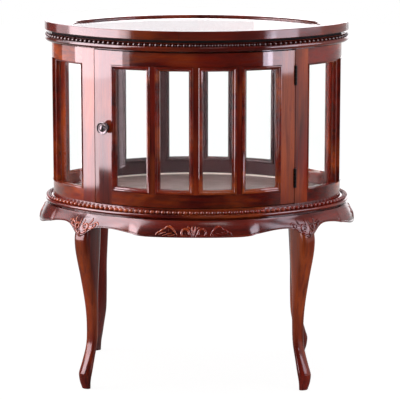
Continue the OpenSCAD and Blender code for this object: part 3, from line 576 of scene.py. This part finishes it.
# %% Veneer
taupe = bpy.data.materials.new("floor panel veneer")
taupe.use_nodes = True
tree = taupe.node_tree
vector = add(tree, "TexCoord").outputs["Object"]
veneer_grain = noise(tree, vector, (6, 150, 150), 4.0)
cloudy = noise(tree, vector, (14, 14, 14), 3.0)
veneer = mix(tree, ramp(tree, veneer_grain, 0.3, 0.7), (0.12, 0.078, 0.072), (0.185, 0.13, 0.12))
veneer = mix(tree, ramp(tree, cloudy, 0.35, 0.7, 0.0, 0.25), veneer, (0.14, 0.09, 0.085))
relief = add(tree, "Bump", {"Strength": 0.1, "Distance": 0.0002, "Height": veneer_grain})
shader = tree.nodes["Principled BSDF"].inputs
link(tree, veneer, shader["Base Color"])
link(tree, ramp(tree, cloudy, 0.3, 0.7, 0.35, 0.5), shader["Roughness"])
link(tree, relief.outputs[0], shader["Normal"])
print("materials:", len(bpy.data.materials))

# %% [markdown]
# Each CAD node gets the finish of its own kind of piece, found from how its name starts.

# %% Finish for the CAD nodes
FINISHES = [
    ("door_glazing", door_rails_wood), ("door_glass", glass), ("side_glass", glass),
    ("rear_glass", glass), ("tray_glass", plate), ("leg_screws", bright_steel),
    ("leg_", legs_wood), ("apron", aprons_wood), ("base_board", board_wood),
    ("base_moulding", base_wood), ("crown", crown_wood), ("floor_panel", taupe),
    ("post_rear", rear_uprights_wood), ("post", posts_wood), ("side_rail", side_rails_wood),
    ("rear_rail", rear_wood), ("side_mullion", posts_wood),
    ("rear_mullions", rear_uprights_wood), ("door_stile", door_wood),
    ("door_mullion", door_wood), ("door_rail", door_rails_wood),
    ("door_knob_screw", bright_steel), ("door_knob", pewter), ("hinge", black_steel),
    ("catch_magnet", catch_plastic), ("catch_strike", bright_steel),
    ("tray_frame", tray_wood), ("tray_pads", pad_rubber)]


def set_finish(piece, finish):
    piece.data.materials.clear()
    piece.data.materials.append(finish)


for name, piece in nodes.items():
    set_finish(piece, next(finish for start, finish in FINISHES if name.startswith(start)))
print("finished", len(nodes), "nodes")

# %% [markdown]
# ## Modelling helpers
#
# A new piece starts from a primitive, with nothing else selected. At the end its place is
# applied to the mesh, its doubles are merged, its faces are turned outwards, and flat
# areas are kept flat. It then rides on its body and takes its finish.

# %% Start and settle a piece
DOUBLES = 2e-6


def start():
    if bpy.context.object and bpy.context.object.mode != "OBJECT":
        bpy.ops.object.mode_set(mode="OBJECT")
    bpy.ops.object.select_all(action="DESELECT")


def edit():
    bpy.ops.object.mode_set(mode="EDIT")
    bpy.ops.mesh.select_all(action="SELECT")


def settle(piece, name, finish, body, angle=35):
    start()
    piece.select_set(True)
    bpy.context.view_layer.objects.active = piece
    bpy.ops.object.transform_apply(location=True, rotation=True, scale=True)
    edit()
    bpy.ops.mesh.remove_doubles(threshold=DOUBLES)
    bpy.ops.mesh.normals_make_consistent(inside=False)
    bpy.ops.object.mode_set(mode="OBJECT")
    bpy.ops.object.shade_smooth_by_angle(angle=math.radians(angle))
    piece.name = piece.data.name = name
    set_finish(piece, finish)
    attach(piece, body)
    print(name, len(piece.data.polygons), "faces")
    return piece


def joined(pieces):
    """Makes one object of several."""
    start()
    for piece in pieces:
        piece.select_set(True)
    bpy.context.view_layer.objects.active = pieces[0]
    bpy.ops.object.join()
    return pieces[0]


print("modelling helpers ready")

# %% [markdown]
# What repeats is modelled once and copied. A copy is placed by a matrix that stands on
# the oval and faces outwards. To space copies evenly, walk() measures along the arcs.

# %% Copies along the oval


def copy_to(piece, matrix):
    """A copy with its own mesh, placed by the matrix in its mesh."""
    twin = piece.copy()
    twin.data = piece.data.copy()
    twin.data.transform(matrix)
    bpy.context.scene.collection.objects.link(twin)
    return twin


def frame_at(phi, u, z):
    """Matrix whose X points outwards, Y along the oval and Z up at a point of it."""
    out, origin = outward(phi), oval_point(phi, u, z)
    side = Vector((math.cos(phi), math.sin(phi), 0))
    return Matrix(((out.x, side.x, 0, origin.x), (out.y, side.y, 0, origin.y),
                   (0, 0, 1, origin.z), (0, 0, 0, 1)))


def walk(phi, length, u):
    """Direction reached after walking a length in metres from phi, at the offset u."""
    while True:
        _, radius = arc_centre(phi + TINY)
        radius += u * MM
        end = min(joint for joint in JOINTS if joint > phi + TINY)
        if length <= (end - phi) * radius:
            return phi + length / radius
        phi, length = end, length - (end - phi) * radius


print("100 mm along the edge from the front:", round(math.degrees(walk(0, 0.1, 0)), 1), "degrees")

# %% [markdown]
# ## Crown and base mouldings
#
# Each moulding is a long strip bent round the oval. Its profile is drawn once, as a ring
# of points, and spun round the centre of each arc in turn. Spin keeps the section true,
# where a curve with a bevel would twist it.

# %% Spin a profile along the oval
STEP = math.radians(1.4)


def spun(profile, phi0, stops, fill="NOTHING"):
    """Spins a profile from phi0 through stops, each a direction and a count of steps."""
    start()
    bpy.ops.mesh.primitive_circle_add(vertices=len(profile), radius=0.01, fill_type=fill)
    piece = bpy.context.object
    for vertex, (u, z) in zip(piece.data.vertices, profile):
        vertex.co = oval_point(phi0, u, z)
    edit()
    for end, steps in stops:
        centre, _ = arc_centre((phi0 + end) / 2)
        bpy.ops.mesh.spin(steps=steps, angle=phi0 - end, center=centre, axis=(0, 0, 1))
        phi0 = end
    bpy.ops.object.mode_set(mode="OBJECT")
    return piece


def spun_round(profile):
    return spun(profile, 0, [(JOIN, 30), (math.pi - JOIN, 34), (math.pi + JOIN, 60),
                             (2 * math.pi - JOIN, 34), (2 * math.pi, 30)])


def spun_part(profile, phi0, phi1):
    """A length with closed ends. A stop at each joint keeps the arcs apart."""
    stops, last = [], phi0
    for end in [joint for joint in JOINTS if phi0 < joint < phi1] + [phi1]:
        stops.append((end, max(2, round((end - last) / STEP))))
        last = end
    return spun(profile, phi0, stops, "NGON")


def bow(u, z, r, first, last, count):
    """Points on an arc of a profile, with angles in degrees from outwards, up."""
    angles = [math.radians(first + (last - first) * i / (count - 1)) for i in range(count)]
    return [(u + r * math.cos(a), z + r * math.sin(a)) for a in angles]


print("steps round the oval:", 30 + 34 + 60 + 34 + 30)

# %% [markdown]
# The beads are small turned shapes side by side. Each is its own small form, so that
# each keeps its own highlight. One is made from a coarse ball and copied.

# %% A row of beads


def bead_row(u, z, wide, high, deep, count):
    """Beads at equal distances round the whole oval."""
    start()
    bpy.ops.mesh.primitive_uv_sphere_add(segments=10, ring_count=6, radius=1,
                                         rotation=(math.pi / 2, 0, 0))
    bead = bpy.context.object
    bpy.ops.object.transform_apply(location=True, rotation=True, scale=True)
    edit()
    bpy.ops.transform.resize(value=(deep / 2 * MM, wide / 2 * MM, high / 2 * MM))
    bpy.ops.object.mode_set(mode="OBJECT")
    whole = 2 * (2 * JOIN * (ARC_R + u * MM) + (math.pi - 2 * JOIN) * (END_R + u * MM))
    beads = [copy_to(bead, frame_at(walk(0, whole * (i + 0.5) / count, u), u, z))
             for i in range(count)]
    bpy.data.objects.remove(bead)
    print("bead pitch", round(whole / count * 1000, 2), "mm")
    return joined(beads)


# %% [markdown]
# The crown closes the body: a round nose below, a hollow that holds the beads, and a
# thin lip under the tray. It replaces the plain CAD moulding.

# %% Crown moulding
CROWN_BEADS = 142
crown = spun_round(
    [(-55, CROWN_Z), (-20, CROWN_Z), (-20, CROWN_Z + 3.2), (-13.6, CROWN_Z + 3.2)]
    + bow(-6.0, CROWN_Z + 8.6, 5.6, -98, 62, 12)
    + [(-5.6, 751.2), (-7.6, 751.8), (-9.2, 753.2), (-9.8, 755), (-9.2, 756.9), (-7.8, 758.3),
       (-5.4, 758.8), (-5.0, 759.5), (-5.4, CROWN_TOP), (-55, CROWN_TOP)])
crown_beads = bead_row(-4.9, 755.0, 10.4, 7.6, 8.4, CROWN_BEADS)
settle(crown, "crown", crown_wood, "cabinet")
settle(crown_beads, "crown_beads", crown_bead_wood, "cabinet", angle=80)
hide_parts("crown_moulding")

# %% [markdown]
# The base moulding is a shelf round the foot of the body, with a round nose under a row
# of larger beads.

# %% Base moulding
BASE_BEADS = 144
base = spun_round(
    [(-40, BASE_Z), (-9.5, BASE_Z), (-9.5, BASE_Z + 3.6), (-5.5, BASE_Z + 4.6),
     (-1.5, BASE_Z + 6.6)]
    + bow(-1.8, 393.0, 3.6, -60, 85, 8)
    + [(-2.6, 396.9), (-5, 397.7), (-8.8, 398.4), (-10.4, 400.2), (-13.8, 400.2),
       (-14.5, 401.8), (-14.5, BASE_TOP), (-40, BASE_TOP)])
base_beads = bead_row(-4.4, 400.9, 10.6, 7.6, 11.4, BASE_BEADS)
settle(base, "base_ring", base_wood, "cabinet")
settle(base_beads, "base_beads", base_bead_wood, "cabinet", angle=80)
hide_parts("base_moulding")

# %% [markdown]
# A narrow ring of black felt lies on the crown, in the gap under the tray. It is painted
# shade: a dark sheet that keeps light out of the gap, so that the gap looks dark.

# %% Felt strip
FELT_H = 5.3
# painted shade: a black sheet in the gap under the tray
tray_gap_shade_strip = spun_round([(-19, CROWN_TOP), (-15.5, CROWN_TOP), (-15.5, CROWN_TOP + FELT_H),
                         (-19, CROWN_TOP + FELT_H)])
settle(tray_gap_shade_strip, "tray_gap_shade_strip", felt, "cabinet")

# %% [markdown]
# ## Cabriole legs
#
# A cabriole leg is sawn from a square block to an S on two sides and then rounded by
# hand. Its outlines are curves through a few points, each a distance and a height: the
# outer side, the inner side, and half the width.

# %% Leg outlines
LEG_OUTER = [(17.5, 0), (22.5, 19), (25, 31), (24, 37), (15.5, 54), (0.5, 90), (-3.5, 126),
             (-1.5, 176), (11.5, 240), (26.5, 301), (29.6, 330), (27, 345), (20, 361), (4, 375),
             (-12, 383)]
LEG_INNER = [(3.5, 0), (6.5, 14), (5.5, 22), (-0.5, 40), (-10, 72), (-18, 100), (-20, 132),
             (-18.5, 204), (-21.5, 258), (-24.5, 303), (-26.5, 337), (-28, 383)]
LEG_HALF = [(10, 0), (13.4, 14), (15.2, 30), (15.4, 38), (14, 60), (12.2, 95), (12.0, 130),
            (13.8, 180), (16.2, 250), (18, 318), (18, 383)]


def along(points, z):
    """Smooth curve through (value, z) points."""
    i = max(1, next((k for k, p in enumerate(points) if p[1] >= z), len(points) - 1))
    (v0, z0), (v1, z1) = points[i - 1], points[i]
    before = points[i - 2] if i > 1 else points[i - 1]
    after = points[i + 1] if i + 1 < len(points) else points[i]
    slope0 = (v1 - before[0]) / (z1 - before[1])
    slope1 = (after[0] - v0) / (after[1] - z0)
    t, h = (z - z0) / (z1 - z0), z1 - z0
    return ((2 * t**3 - 3 * t**2 + 1) * v0 + (t**3 - 2 * t**2 + t) * h * slope0
            + (3 * t**2 - 2 * t**3) * v1 + (t**3 - t**2) * h * slope1)


def wave(t):
    """Goes softly from 0 to 1 as t does."""
    return (1 - math.cos(math.pi * min(max(t, 0), 1))) / 2


print("the knee stands out", round(along(LEG_OUTER, 330), 1), "mm past the tray's edge")

# %% [markdown]
# The leg is built as it is sawn: a ring of points at the foot is extruded upwards from
# level to level, and at each level scaled to the leg's depth and width there. The knee
# widens to meet the aprons. It is made once, and copied to the four places.

# %% Four cabriole legs
LEVELS = ([0, 3, 8, 14, 20, 26, 30, 33, 36, 40, 46, 53, 62] + list(range(72, 330, 12))
          + [330, 336, 342, 348, 354, 360, 366, 372, 378, 383])
LIFT = 0.01
LEGS = {"front_right": LEG_ANGLE, "front_left": -LEG_ANGLE,
        "rear_right": math.pi - LEG_ANGLE, "rear_left": LEG_ANGLE - math.pi}


def cabriole_leg():
    start()
    bpy.ops.mesh.primitive_circle_add(vertices=28, radius=1, fill_type="NGON")
    leg = bpy.context.object
    edit()
    for _ in LEVELS[1:]:
        bpy.ops.mesh.extrude_region_move(TRANSFORM_OT_translate={"value": (0, 0, LIFT)})
    bpy.ops.object.mode_set(mode="OBJECT")
    for vertex in leg.data.vertices:
        z = LEVELS[round(vertex.co.z / LIFT)]
        outer, inner, half = along(LEG_OUTER, z), along(LEG_INNER, z), along(LEG_HALF, z)
        # round at the foot, squarer at the ankle and squarest at the knee
        power = 0.95 - 0.42 * wave((z - 45) / 85) - 0.13 * wave((z - 180) / 140)
        out, side = [math.copysign(abs(c) ** power, c) for c in vertex.co.xy]
        middle, depth = (outer + inner) / 2, (outer - inner) / 2
        vertex.co = ((middle + depth * out) * MM, half * side * MM, z * MM)
    return leg


leg = cabriole_leg()
for place, phi in LEGS.items():
    made = copy_to(leg, frame_at(phi, 0, 0))
    settle(made, "cabriole_leg_" + place, legs_wood, "cabinet", angle=50)
    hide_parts("leg_" + place)
bpy.data.objects.remove(leg)

# %% [markdown]
# ## Aprons
#
# Each apron is a shaped board under the base, with a wavy lower edge and a small bead
# along it. Near a leg its face swells out to a ridge that meets the knee. First come the
# face's two outlines, between the legs and at a leg, as offsets and heights.

# %% The apron's face
APRON_TOP = BASE_Z + 2
APRON_FOOT = 335
FACE_LINE = [(16.3, APRON_FOOT), (16, 343), (15.5, 350), (14.7, 355.5), (13.2, 361),
             (11.3, 365.5), (9, 370), (6.4, 375), (3.8, 379.5), (1.6, 383), (0.6, APRON_TOP)]
KNEE_LINE = [(30.2, APRON_FOOT), (30.4, 340), (29.4, 349), (27, 356.5), (23.5, 363.5),
             (18.8, 369.5), (13, 375), (7.4, 379.5), (3, 383), (1.2, APRON_TOP)]
LONG_EDGE, SIDE_EDGE, LEG_EDGE = (351.5, 10.5, 90, 95, 21), (344, 20, 20, 105, 26), 339
LONG_RIDGE, SIDE_RIDGE = (150, 2.8), (70, 1.8)
NEAR_LEG = 0.3


def direction_of(co):
    """Direction of a point, as seen from the centre of its own arc."""
    front, rear = math.atan2(co.x, ARC_K - co.y), math.atan2(co.x, -(co.y + ARC_K))
    if co.y < 0 and abs(front) <= JOIN:
        return front
    if co.y > 0 and abs(rear) >= math.pi - JOIN:
        return rear
    return math.atan2(co.x - math.copysign(END_C, co.x), -co.y)


def from_leg(phi):
    """Distance along the oval, in millimetres, from the nearest leg's middle."""
    turns = [abs(math.remainder(phi - leg, 2 * math.pi)) for leg in LEGS.values()]
    return min(turn * (ARC_R if turn < NEAR_LEG else END_R) / MM for turn in turns)


def on_long_side(phi):
    """True on the front and rear aprons, False on the side ones."""
    return abs(math.remainder(phi, math.pi)) < LEG_ANGLE


def apron_low(phi):
    """Height of the lower edge: level, then a rise, and a soft dip to each leg."""
    point, long_side = oval_point(phi, 0, 0), on_long_side(phi)
    level, rise, begin, length, dip = LONG_EDGE if long_side else SIDE_EDGE
    across = abs(point.x if long_side else point.y) / MM
    low = level + rise * wave((across - begin) / length)
    return low - (low - LEG_EDGE) * math.exp(-(from_leg(phi) / dip) ** 2)


def apron_face(phi, z):
    """Offset u of the face at a height. It swells to a ridge at each leg."""
    reach, power = LONG_RIDGE if on_long_side(phi) else SIDE_RIDGE
    ridge = max(0, 1 - from_leg(phi) / reach) ** power
    z = min(max(z, APRON_FOOT), APRON_TOP)
    face, knee = along(FACE_LINE, z), along(KNEE_LINE, z)
    return face + (knee - face) * ridge


print("lower edge:", apron_low(0), "mm, at a leg:", round(apron_low(LEG_ANGLE)), "mm")

# %% [markdown]
# The section goes down the face, round the small bead at the lower edge and up the back.
# Each of its points is a share of the way down and a depth behind the face. A stand-in
# ring is spun along the oval first. Then every point moves to its own height and depth.

# %% Four aprons
SECTION = [(0, 0), (0.07, 0), (0.15, 0), (0.24, 0), (0.34, 0), (0.45, 0), (0.56, 0), (0.67, 0),
           (0.77, 0), (0.83, 0), (0.85, -0.9), (0.875, -0.9), (0.895, 0.1), (0.92, 0.7),
           (0.96, 0.8), (0.985, 0.2), (1.0, -1.0), (1.0, -8), (1.0, -17), (0.5, -19),
           (0.0, -27), (0.0, -9.4), (0.0, -9.0)]
UNDER_BASE = -9.2
STAND_IN_Z = 900
quarter = math.pi / 2


def apron(phi0, phi1):
    piece = spun_part([(i, STAND_IN_Z + i) for i in range(len(SECTION))], phi0, phi1)
    for vertex in piece.data.vertices:
        share, relief = SECTION[round(vertex.co.z / MM - STAND_IN_Z)]
        phi = direction_of(vertex.co)
        z = APRON_TOP - share * (APRON_TOP - apron_low(phi))
        if share == 0 and relief < UNDER_BASE:
            z = BASE_Z
        vertex.co = oval_point(phi, apron_face(phi, z) + relief, z)
    return piece


for node, middle, half in (("apron_front", 0, LEG_ANGLE),
                           ("apron_right", quarter, quarter - LEG_ANGLE),
                           ("apron_rear", math.pi, LEG_ANGLE),
                           ("apron_left", -quarter, quarter - LEG_ANGLE)):
    made = apron(middle - half, middle + half)
    settle(made, "shaped_" + node, aprons_wood, "cabinet", angle=40)
    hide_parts(node)

# %% [markdown]
# Two thin strips. Black felt behind the top of the door is painted shade: a dark sheet that
# keeps light out of the gap there, so that it looks dark. A pale strip along the rear of the
# floor panel is painted light: a pale line where light falls.

# %% Painted shade at the door, painted light at the panel


def strip(name, middle, half, u0, u1, z0, z1, finish):
    made = spun_part([(u0, z0), (u1, z0), (u1, z1), (u0, z1)], middle - half, middle + half)
    settle(made, name, finish, "cabinet")


# painted shade: black felt in the gap behind the top of the door
strip("door_gap_shade_strip", 0, 0.62, -41.5, -38.7, CROWN_Z - 7, CROWN_Z - 0.2, felt)
# painted light: a pale line along the rear of the floor panel
strip("painted_light_strip", math.pi, 0.56, -40.4, -37.3, 410, 413, painted_light_line)

# %% [markdown]
# ## Carving
#
# Scrolls and leaves are carved in low relief on each knee, on the middle of the front
# and rear aprons and on both ends. Each is a set of tapering strokes, like icing on a
# cake: points of a place along the face, a height and a thickness, thin at the ends.

# %% Strokes


def spiral(s, z, first, last, big, small, thick, thin, count):
    """Stroke that winds round an eye. Angles in degrees from outwards."""
    points = []
    for i in range(count):
        t = i / (count - 1)
        a = math.radians(first + (last - first) * t)
        r = big + (small - big) * t
        points.append((s + r * math.cos(a), z + r * math.sin(a), thick + (thin - thick) * t))
    return points


def leaf(points, thick):
    """Stroke through points, thickest in its middle."""
    n = len(points) - 1
    return [(s, z, thick * (0.25 + 0.75 * math.sin(math.pi * (i + 0.35) / (n + 0.7))))
            for i, (s, z) in enumerate(points)]


def boss(s, z, r):
    """A round eye."""
    return [(s - 0.2, z, r * 0.3), (s - 0.1, z, r), (s + 0.1, z, r), (s + 0.2, z, r * 0.3)]


def mirrored(strokes):
    return strokes + [[(-s, z, r) for s, z, r in stroke] for stroke in strokes]


print("a boss is a stroke of", len(boss(0, 0, 1)), "points")

# %% [markdown]
# The strokes are curves with a round section, which are then made a mesh. Every point of
# it is laid on the apron's face, and flattened a little, as a carver's gouge would.

# %% Lay strokes on the face
FLATTENED = 0.83


def carving(name, phi, strokes):
    curve_data = bpy.data.curves.new(name, "CURVE")
    curve_data.dimensions = "3D"
    curve_data.bevel_depth = 1.0
    curve_data.bevel_resolution = 2
    curve_data.resolution_u = 4
    curve_data.use_fill_caps = True
    for stroke in strokes:
        line = curve_data.splines.new("NURBS")
        line.points.add(len(stroke) - 1)
        line.use_endpoint_u = True
        line.order_u = 3
        for point, (s, z, r) in zip(line.points, stroke):
            point.co = (s, 0, z, 1)
            point.radius = r
    drawn = bpy.data.objects.new(name, curve_data)
    bpy.context.scene.collection.objects.link(drawn)
    start()
    drawn.select_set(True)
    bpy.context.view_layer.objects.active = drawn
    bpy.ops.object.convert(target="MESH")
    carved = bpy.context.object
    _, radius = arc_centre(phi)
    for vertex in carved.data.vertices:
        s, y, z = vertex.co
        here = phi + s * MM / radius
        vertex.co = oval_point(here, apron_face(here, z) - y * FLATTENED, z)
    settle(carved, name, carving_wood, "cabinet", angle=80)


print("strokes are flattened to", FLATTENED)

# %% [markdown]
# On each knee two scrolls stand beside a middle leaf, with small leaves around them.

# %% Carving of the knees
knee = mirrored([
    spiral(10.5, 361.5, -110, 250, 6.6, 5.0, 2.6, 2.0, 12),
    boss(10.5, 361.5, 3.4), boss(26, 364.5, 3.4), boss(33.5, 368, 2.6),
    leaf([(16.5, 358.5), (21, 358), (26, 359.5), (31, 363.5), (32.5, 367.5), (30.5, 370.5)], 2.3),
    leaf([(16, 366), (21, 371.5), (22.5, 376), (20, 379)], 2.2),
    leaf([(18.5, 364), (25, 367.5), (31, 371.5), (36.5, 371), (39.5, 366.5)], 2.0),
    leaf([(3.5, 366), (5.5, 370.5), (4.5, 375.5)], 2.0),
    leaf([(3, 346.5), (8, 349), (13, 351.5), (17, 354.5)], 3.0),
]) + [boss(0, 345.5, 4.0), leaf([(0, 340), (0, 347), (0, 353)], 3.4)]
for place, phi in LEGS.items():
    carving("knee_carving_" + place, phi, knee)

# %% [markdown]
# In the middle of the front and the rear a shell of scrolls and leaves stands between
# two sprays, with berries where their stems meet.

# %% Carving of the long aprons
middle = mirrored([
    leaf([(4.5, 352.5), (6.2, 358), (9, 363.5)], 2.6),
    spiral(17.5, 361.5, 200, -130, 8.4, 7.2, 2.6, 2.2, 14),
    boss(17.5, 361.5, 4.0),
    leaf([(2.2, 356), (1.6, 363), (3.6, 369), (3.2, 374.5)], 2.2),
    leaf([(6.5, 369), (9.5, 372), (13, 373.5)], 1.6),
    leaf([(77.5, 356), (76, 361), (70, 363.8)], 2.1),
    leaf([(69.5, 362.5), (66.5, 367.5), (59.5, 369.5)], 2.3),
    leaf([(60, 368.2), (57.5, 372.5), (52, 374.2), (46.5, 372.4), (41.5, 368), (37, 362),
          (33.5, 356.5)], 2.4),
    boss(51, 367, 5.2), boss(62.5, 363.5, 4.2), boss(70.5, 359.5, 3.4), boss(44, 361.5, 3.6),
    leaf([(71, 357), (64, 361.5), (57, 362.6)], 1.9),
    leaf([(63, 355.5), (54, 358.6), (45, 361.2)], 1.9),
    leaf([(53, 354.5), (45, 356), (39, 358.2)], 1.8),
]) + [boss(0, 373.5, 3.0), leaf([(0, 353), (0, 360), (0, 367)], 2.0)]
for place, phi in (("front", 0), ("rear", math.pi)):
    carving("apron_carving_" + place, phi, middle)

# %% [markdown]
# Both ends carry a smaller spray that opens upwards.

# %% Carving of the ends
tip = mirrored([
    leaf([(2.5, 346), (5.5, 353), (10, 360.5), (15, 366.5)], 2.2),
    leaf([(4, 345.5), (10.5, 350), (17, 354.5), (22, 360)], 2.1),
    spiral(11, 371.5, 190, -150, 4.4, 1.6, 1.9, 1.3, 9),
    spiral(20.5, 365.5, 170, -150, 3.4, 1.4, 1.6, 1.2, 8),
    leaf([(15.5, 376), (19, 379), (22.5, 377)], 1.5),
]) + [leaf([(0, 347), (0, 356), (0, 366), (0, 375)], 2.4), boss(0, 378.5, 2.2)]
for place, phi in (("right", quarter), ("left", -quarter)):
    carving("tip_carving_" + place, phi, tip)

# %% [markdown]
# ## Glazing beads
#
# A mitred bead frames each pane. A rectangle is inset step by step, each step going up
# or down, which gives the moulded section and clean mitres at once. The middle is then
# opened, the back closed, and the flat frame is cut into narrow columns and bent round
# the oval.

# %% Mitred bead frame
FACE_R = ARC_R / MM + FACE_U
DOOR_HALF, BAR_ANGLE = math.radians(33.9), math.radians(13.9)
BEAD_BACK = 8.8
SAMPLES = 400


def bead_frame(phi0, phi1, z0, z1, steps, face=FACE_U, columns=8, side=1):
    """A frame round one pane. Each step is an inset and a rise, in millimetres."""
    length = 0.0
    for i in range(SAMPLES):
        _, radius = arc_centre(phi0 + (phi1 - phi0) * (i + 0.5) / SAMPLES)
        length += (phi1 - phi0) / SAMPLES * (radius + face * MM)
    start()
    bpy.ops.mesh.primitive_plane_add(size=1)
    piece = bpy.context.object
    corners = [(0, z0), (length, z0), (0, z1), (length, z1)]
    for vertex, (x, z) in zip(piece.data.vertices, corners):
        vertex.co = (x, 0, z * MM)
    edit()
    for thickness, rise in steps:
        bpy.ops.mesh.inset(thickness=thickness * MM, depth=rise * MM)
    bpy.ops.mesh.delete(type="FACE")
    bpy.ops.object.mode_set(mode="OBJECT")
    flat = [abs(v.co.y) < TINY for v in piece.data.vertices]
    bpy.ops.object.mode_set(mode="EDIT")
    bpy.ops.mesh.select_all(action="DESELECT")
    bpy.ops.object.mode_set(mode="OBJECT")
    for e in piece.data.edges:
        e.select = all(flat[v] for v in e.vertices)
    bpy.ops.object.mode_set(mode="EDIT")
    bpy.context.tool_settings.mesh_select_mode = (False, True, False)
    bpy.ops.mesh.extrude_region_move(TRANSFORM_OT_translate={"value": (0, BEAD_BACK * MM, 0)})
    bpy.ops.mesh.select_all(action="DESELECT")
    bpy.ops.mesh.select_non_manifold()
    bpy.ops.mesh.bridge_edge_loops()
    for i in range(1, columns):
        bpy.ops.mesh.select_all(action="SELECT")
        bpy.ops.mesh.bisect(plane_co=(length * i / columns, 0, 0), plane_no=(1, 0, 0))
    bpy.ops.object.mode_set(mode="OBJECT")
    bpy.context.tool_settings.mesh_select_mode = (True, False, False)
    for vertex in piece.data.vertices:
        x, y, z = vertex.co
        vertex.co = oval_point(walk(phi0, x, face), face - side * y / MM, z / MM)
    return piece


def four_panes(end, half_bar):
    """Spans of four panes between three bars, in a door or a rear frame."""
    return [(-end, -BAR_ANGLE - half_bar), (-BAR_ANGLE + half_bar, -half_bar),
            (half_bar, BAR_ANGLE - half_bar), (BAR_ANGLE + half_bar, end)]


print("bars at", round(math.degrees(BAR_ANGLE), 1), "degrees")

# %% [markdown]
# The door's beads stand proud of its face, as on the real one. Its panes lie a little
# nearer to the hinge. The frames replace the CAD model's plain ones.

# %% Beads of the door
BEAD_STEPS = [(0.5, 1.6), (1.0, 0.9), (1.4, 0.3), (1.6, -0.5), (1.2, -1.2), (0.6, -1.4),
              (2.0, -0.9), (1.2, -2.8), (0.2, -4.8)]
STILE, DOOR_BAR, DOOR_SHIFT = 38, 11, 4
shift = DOOR_SHIFT / FACE_R
door_panes = four_panes(DOOR_HALF - STILE / FACE_R, DOOR_BAR / 2 / FACE_R)
door_beads = joined([bead_frame(a + shift, b + shift, *DOOR_OPEN_Z, BEAD_STEPS)
                     for a, b in door_panes])
settle(door_beads, "door_pane_beads", sash_wood, "door", angle=25)
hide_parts("door_glazing_beads")

# %% [markdown]
# The sides' beads are lower and thinner. Each side has three panes between its posts,
# and the left side is the right one's mirror image.

# %% Beads of the side panes
SIDE_STEPS = [(0.4, 1.2), (0.9, 0.5), (1.2, -0.3), (1.0, -1.0), (0.8, -3.4), (0.2, -5.0)]
POST, MULLION, SIDE_BAR = 34.7, 24, math.radians(69.5)
post_out = DOOR_HALF + POST / FACE_R
mull_half = MULLION / 2 / (END_R / MM + FACE_U)
near_bar, far_bar = SIDE_BAR - mull_half, SIDE_BAR + mull_half
side_panes = [(post_out, near_bar), (far_bar, math.pi - far_bar),
              (math.pi - near_bar, math.pi - post_out)]
for side, spans in (("right", side_panes), ("left", [(-b, -a) for a, b in side_panes])):
    made = joined([bead_frame(a, b, *OPEN_Z, SIDE_STEPS, columns=14) for a, b in spans])
    settle(made, "side_pane_beads_" + side, sash_wood, "cabinet", angle=25)

# %% [markdown]
# The rear frame's beads are on its inner side, where the camera sees them through the
# door. They are broader, and face the other way.

# %% Beads inside the rear frame
REAR_OPEN_Z, REAR_HALF = (440, 706), math.radians(34)
REAR_STEPS = [(0.6, 1.6), (1.6, 0.9), (2.2, -0.2), (2.0, -1.2), (1.6, -2.6), (1.2, -1.6),
              (0.3, -5.6)]
rear_panes = four_panes(REAR_HALF - STILE / FACE_R, MULLION / 2 / FACE_R)
rear_beads = joined([bead_frame(math.pi + a, math.pi + b, *REAR_OPEN_Z, REAR_STEPS,
                                face=FRAME_U, side=-1) for a, b in rear_panes])
settle(rear_beads, "rear_pane_beads", rear_wood, "cabinet", angle=25)
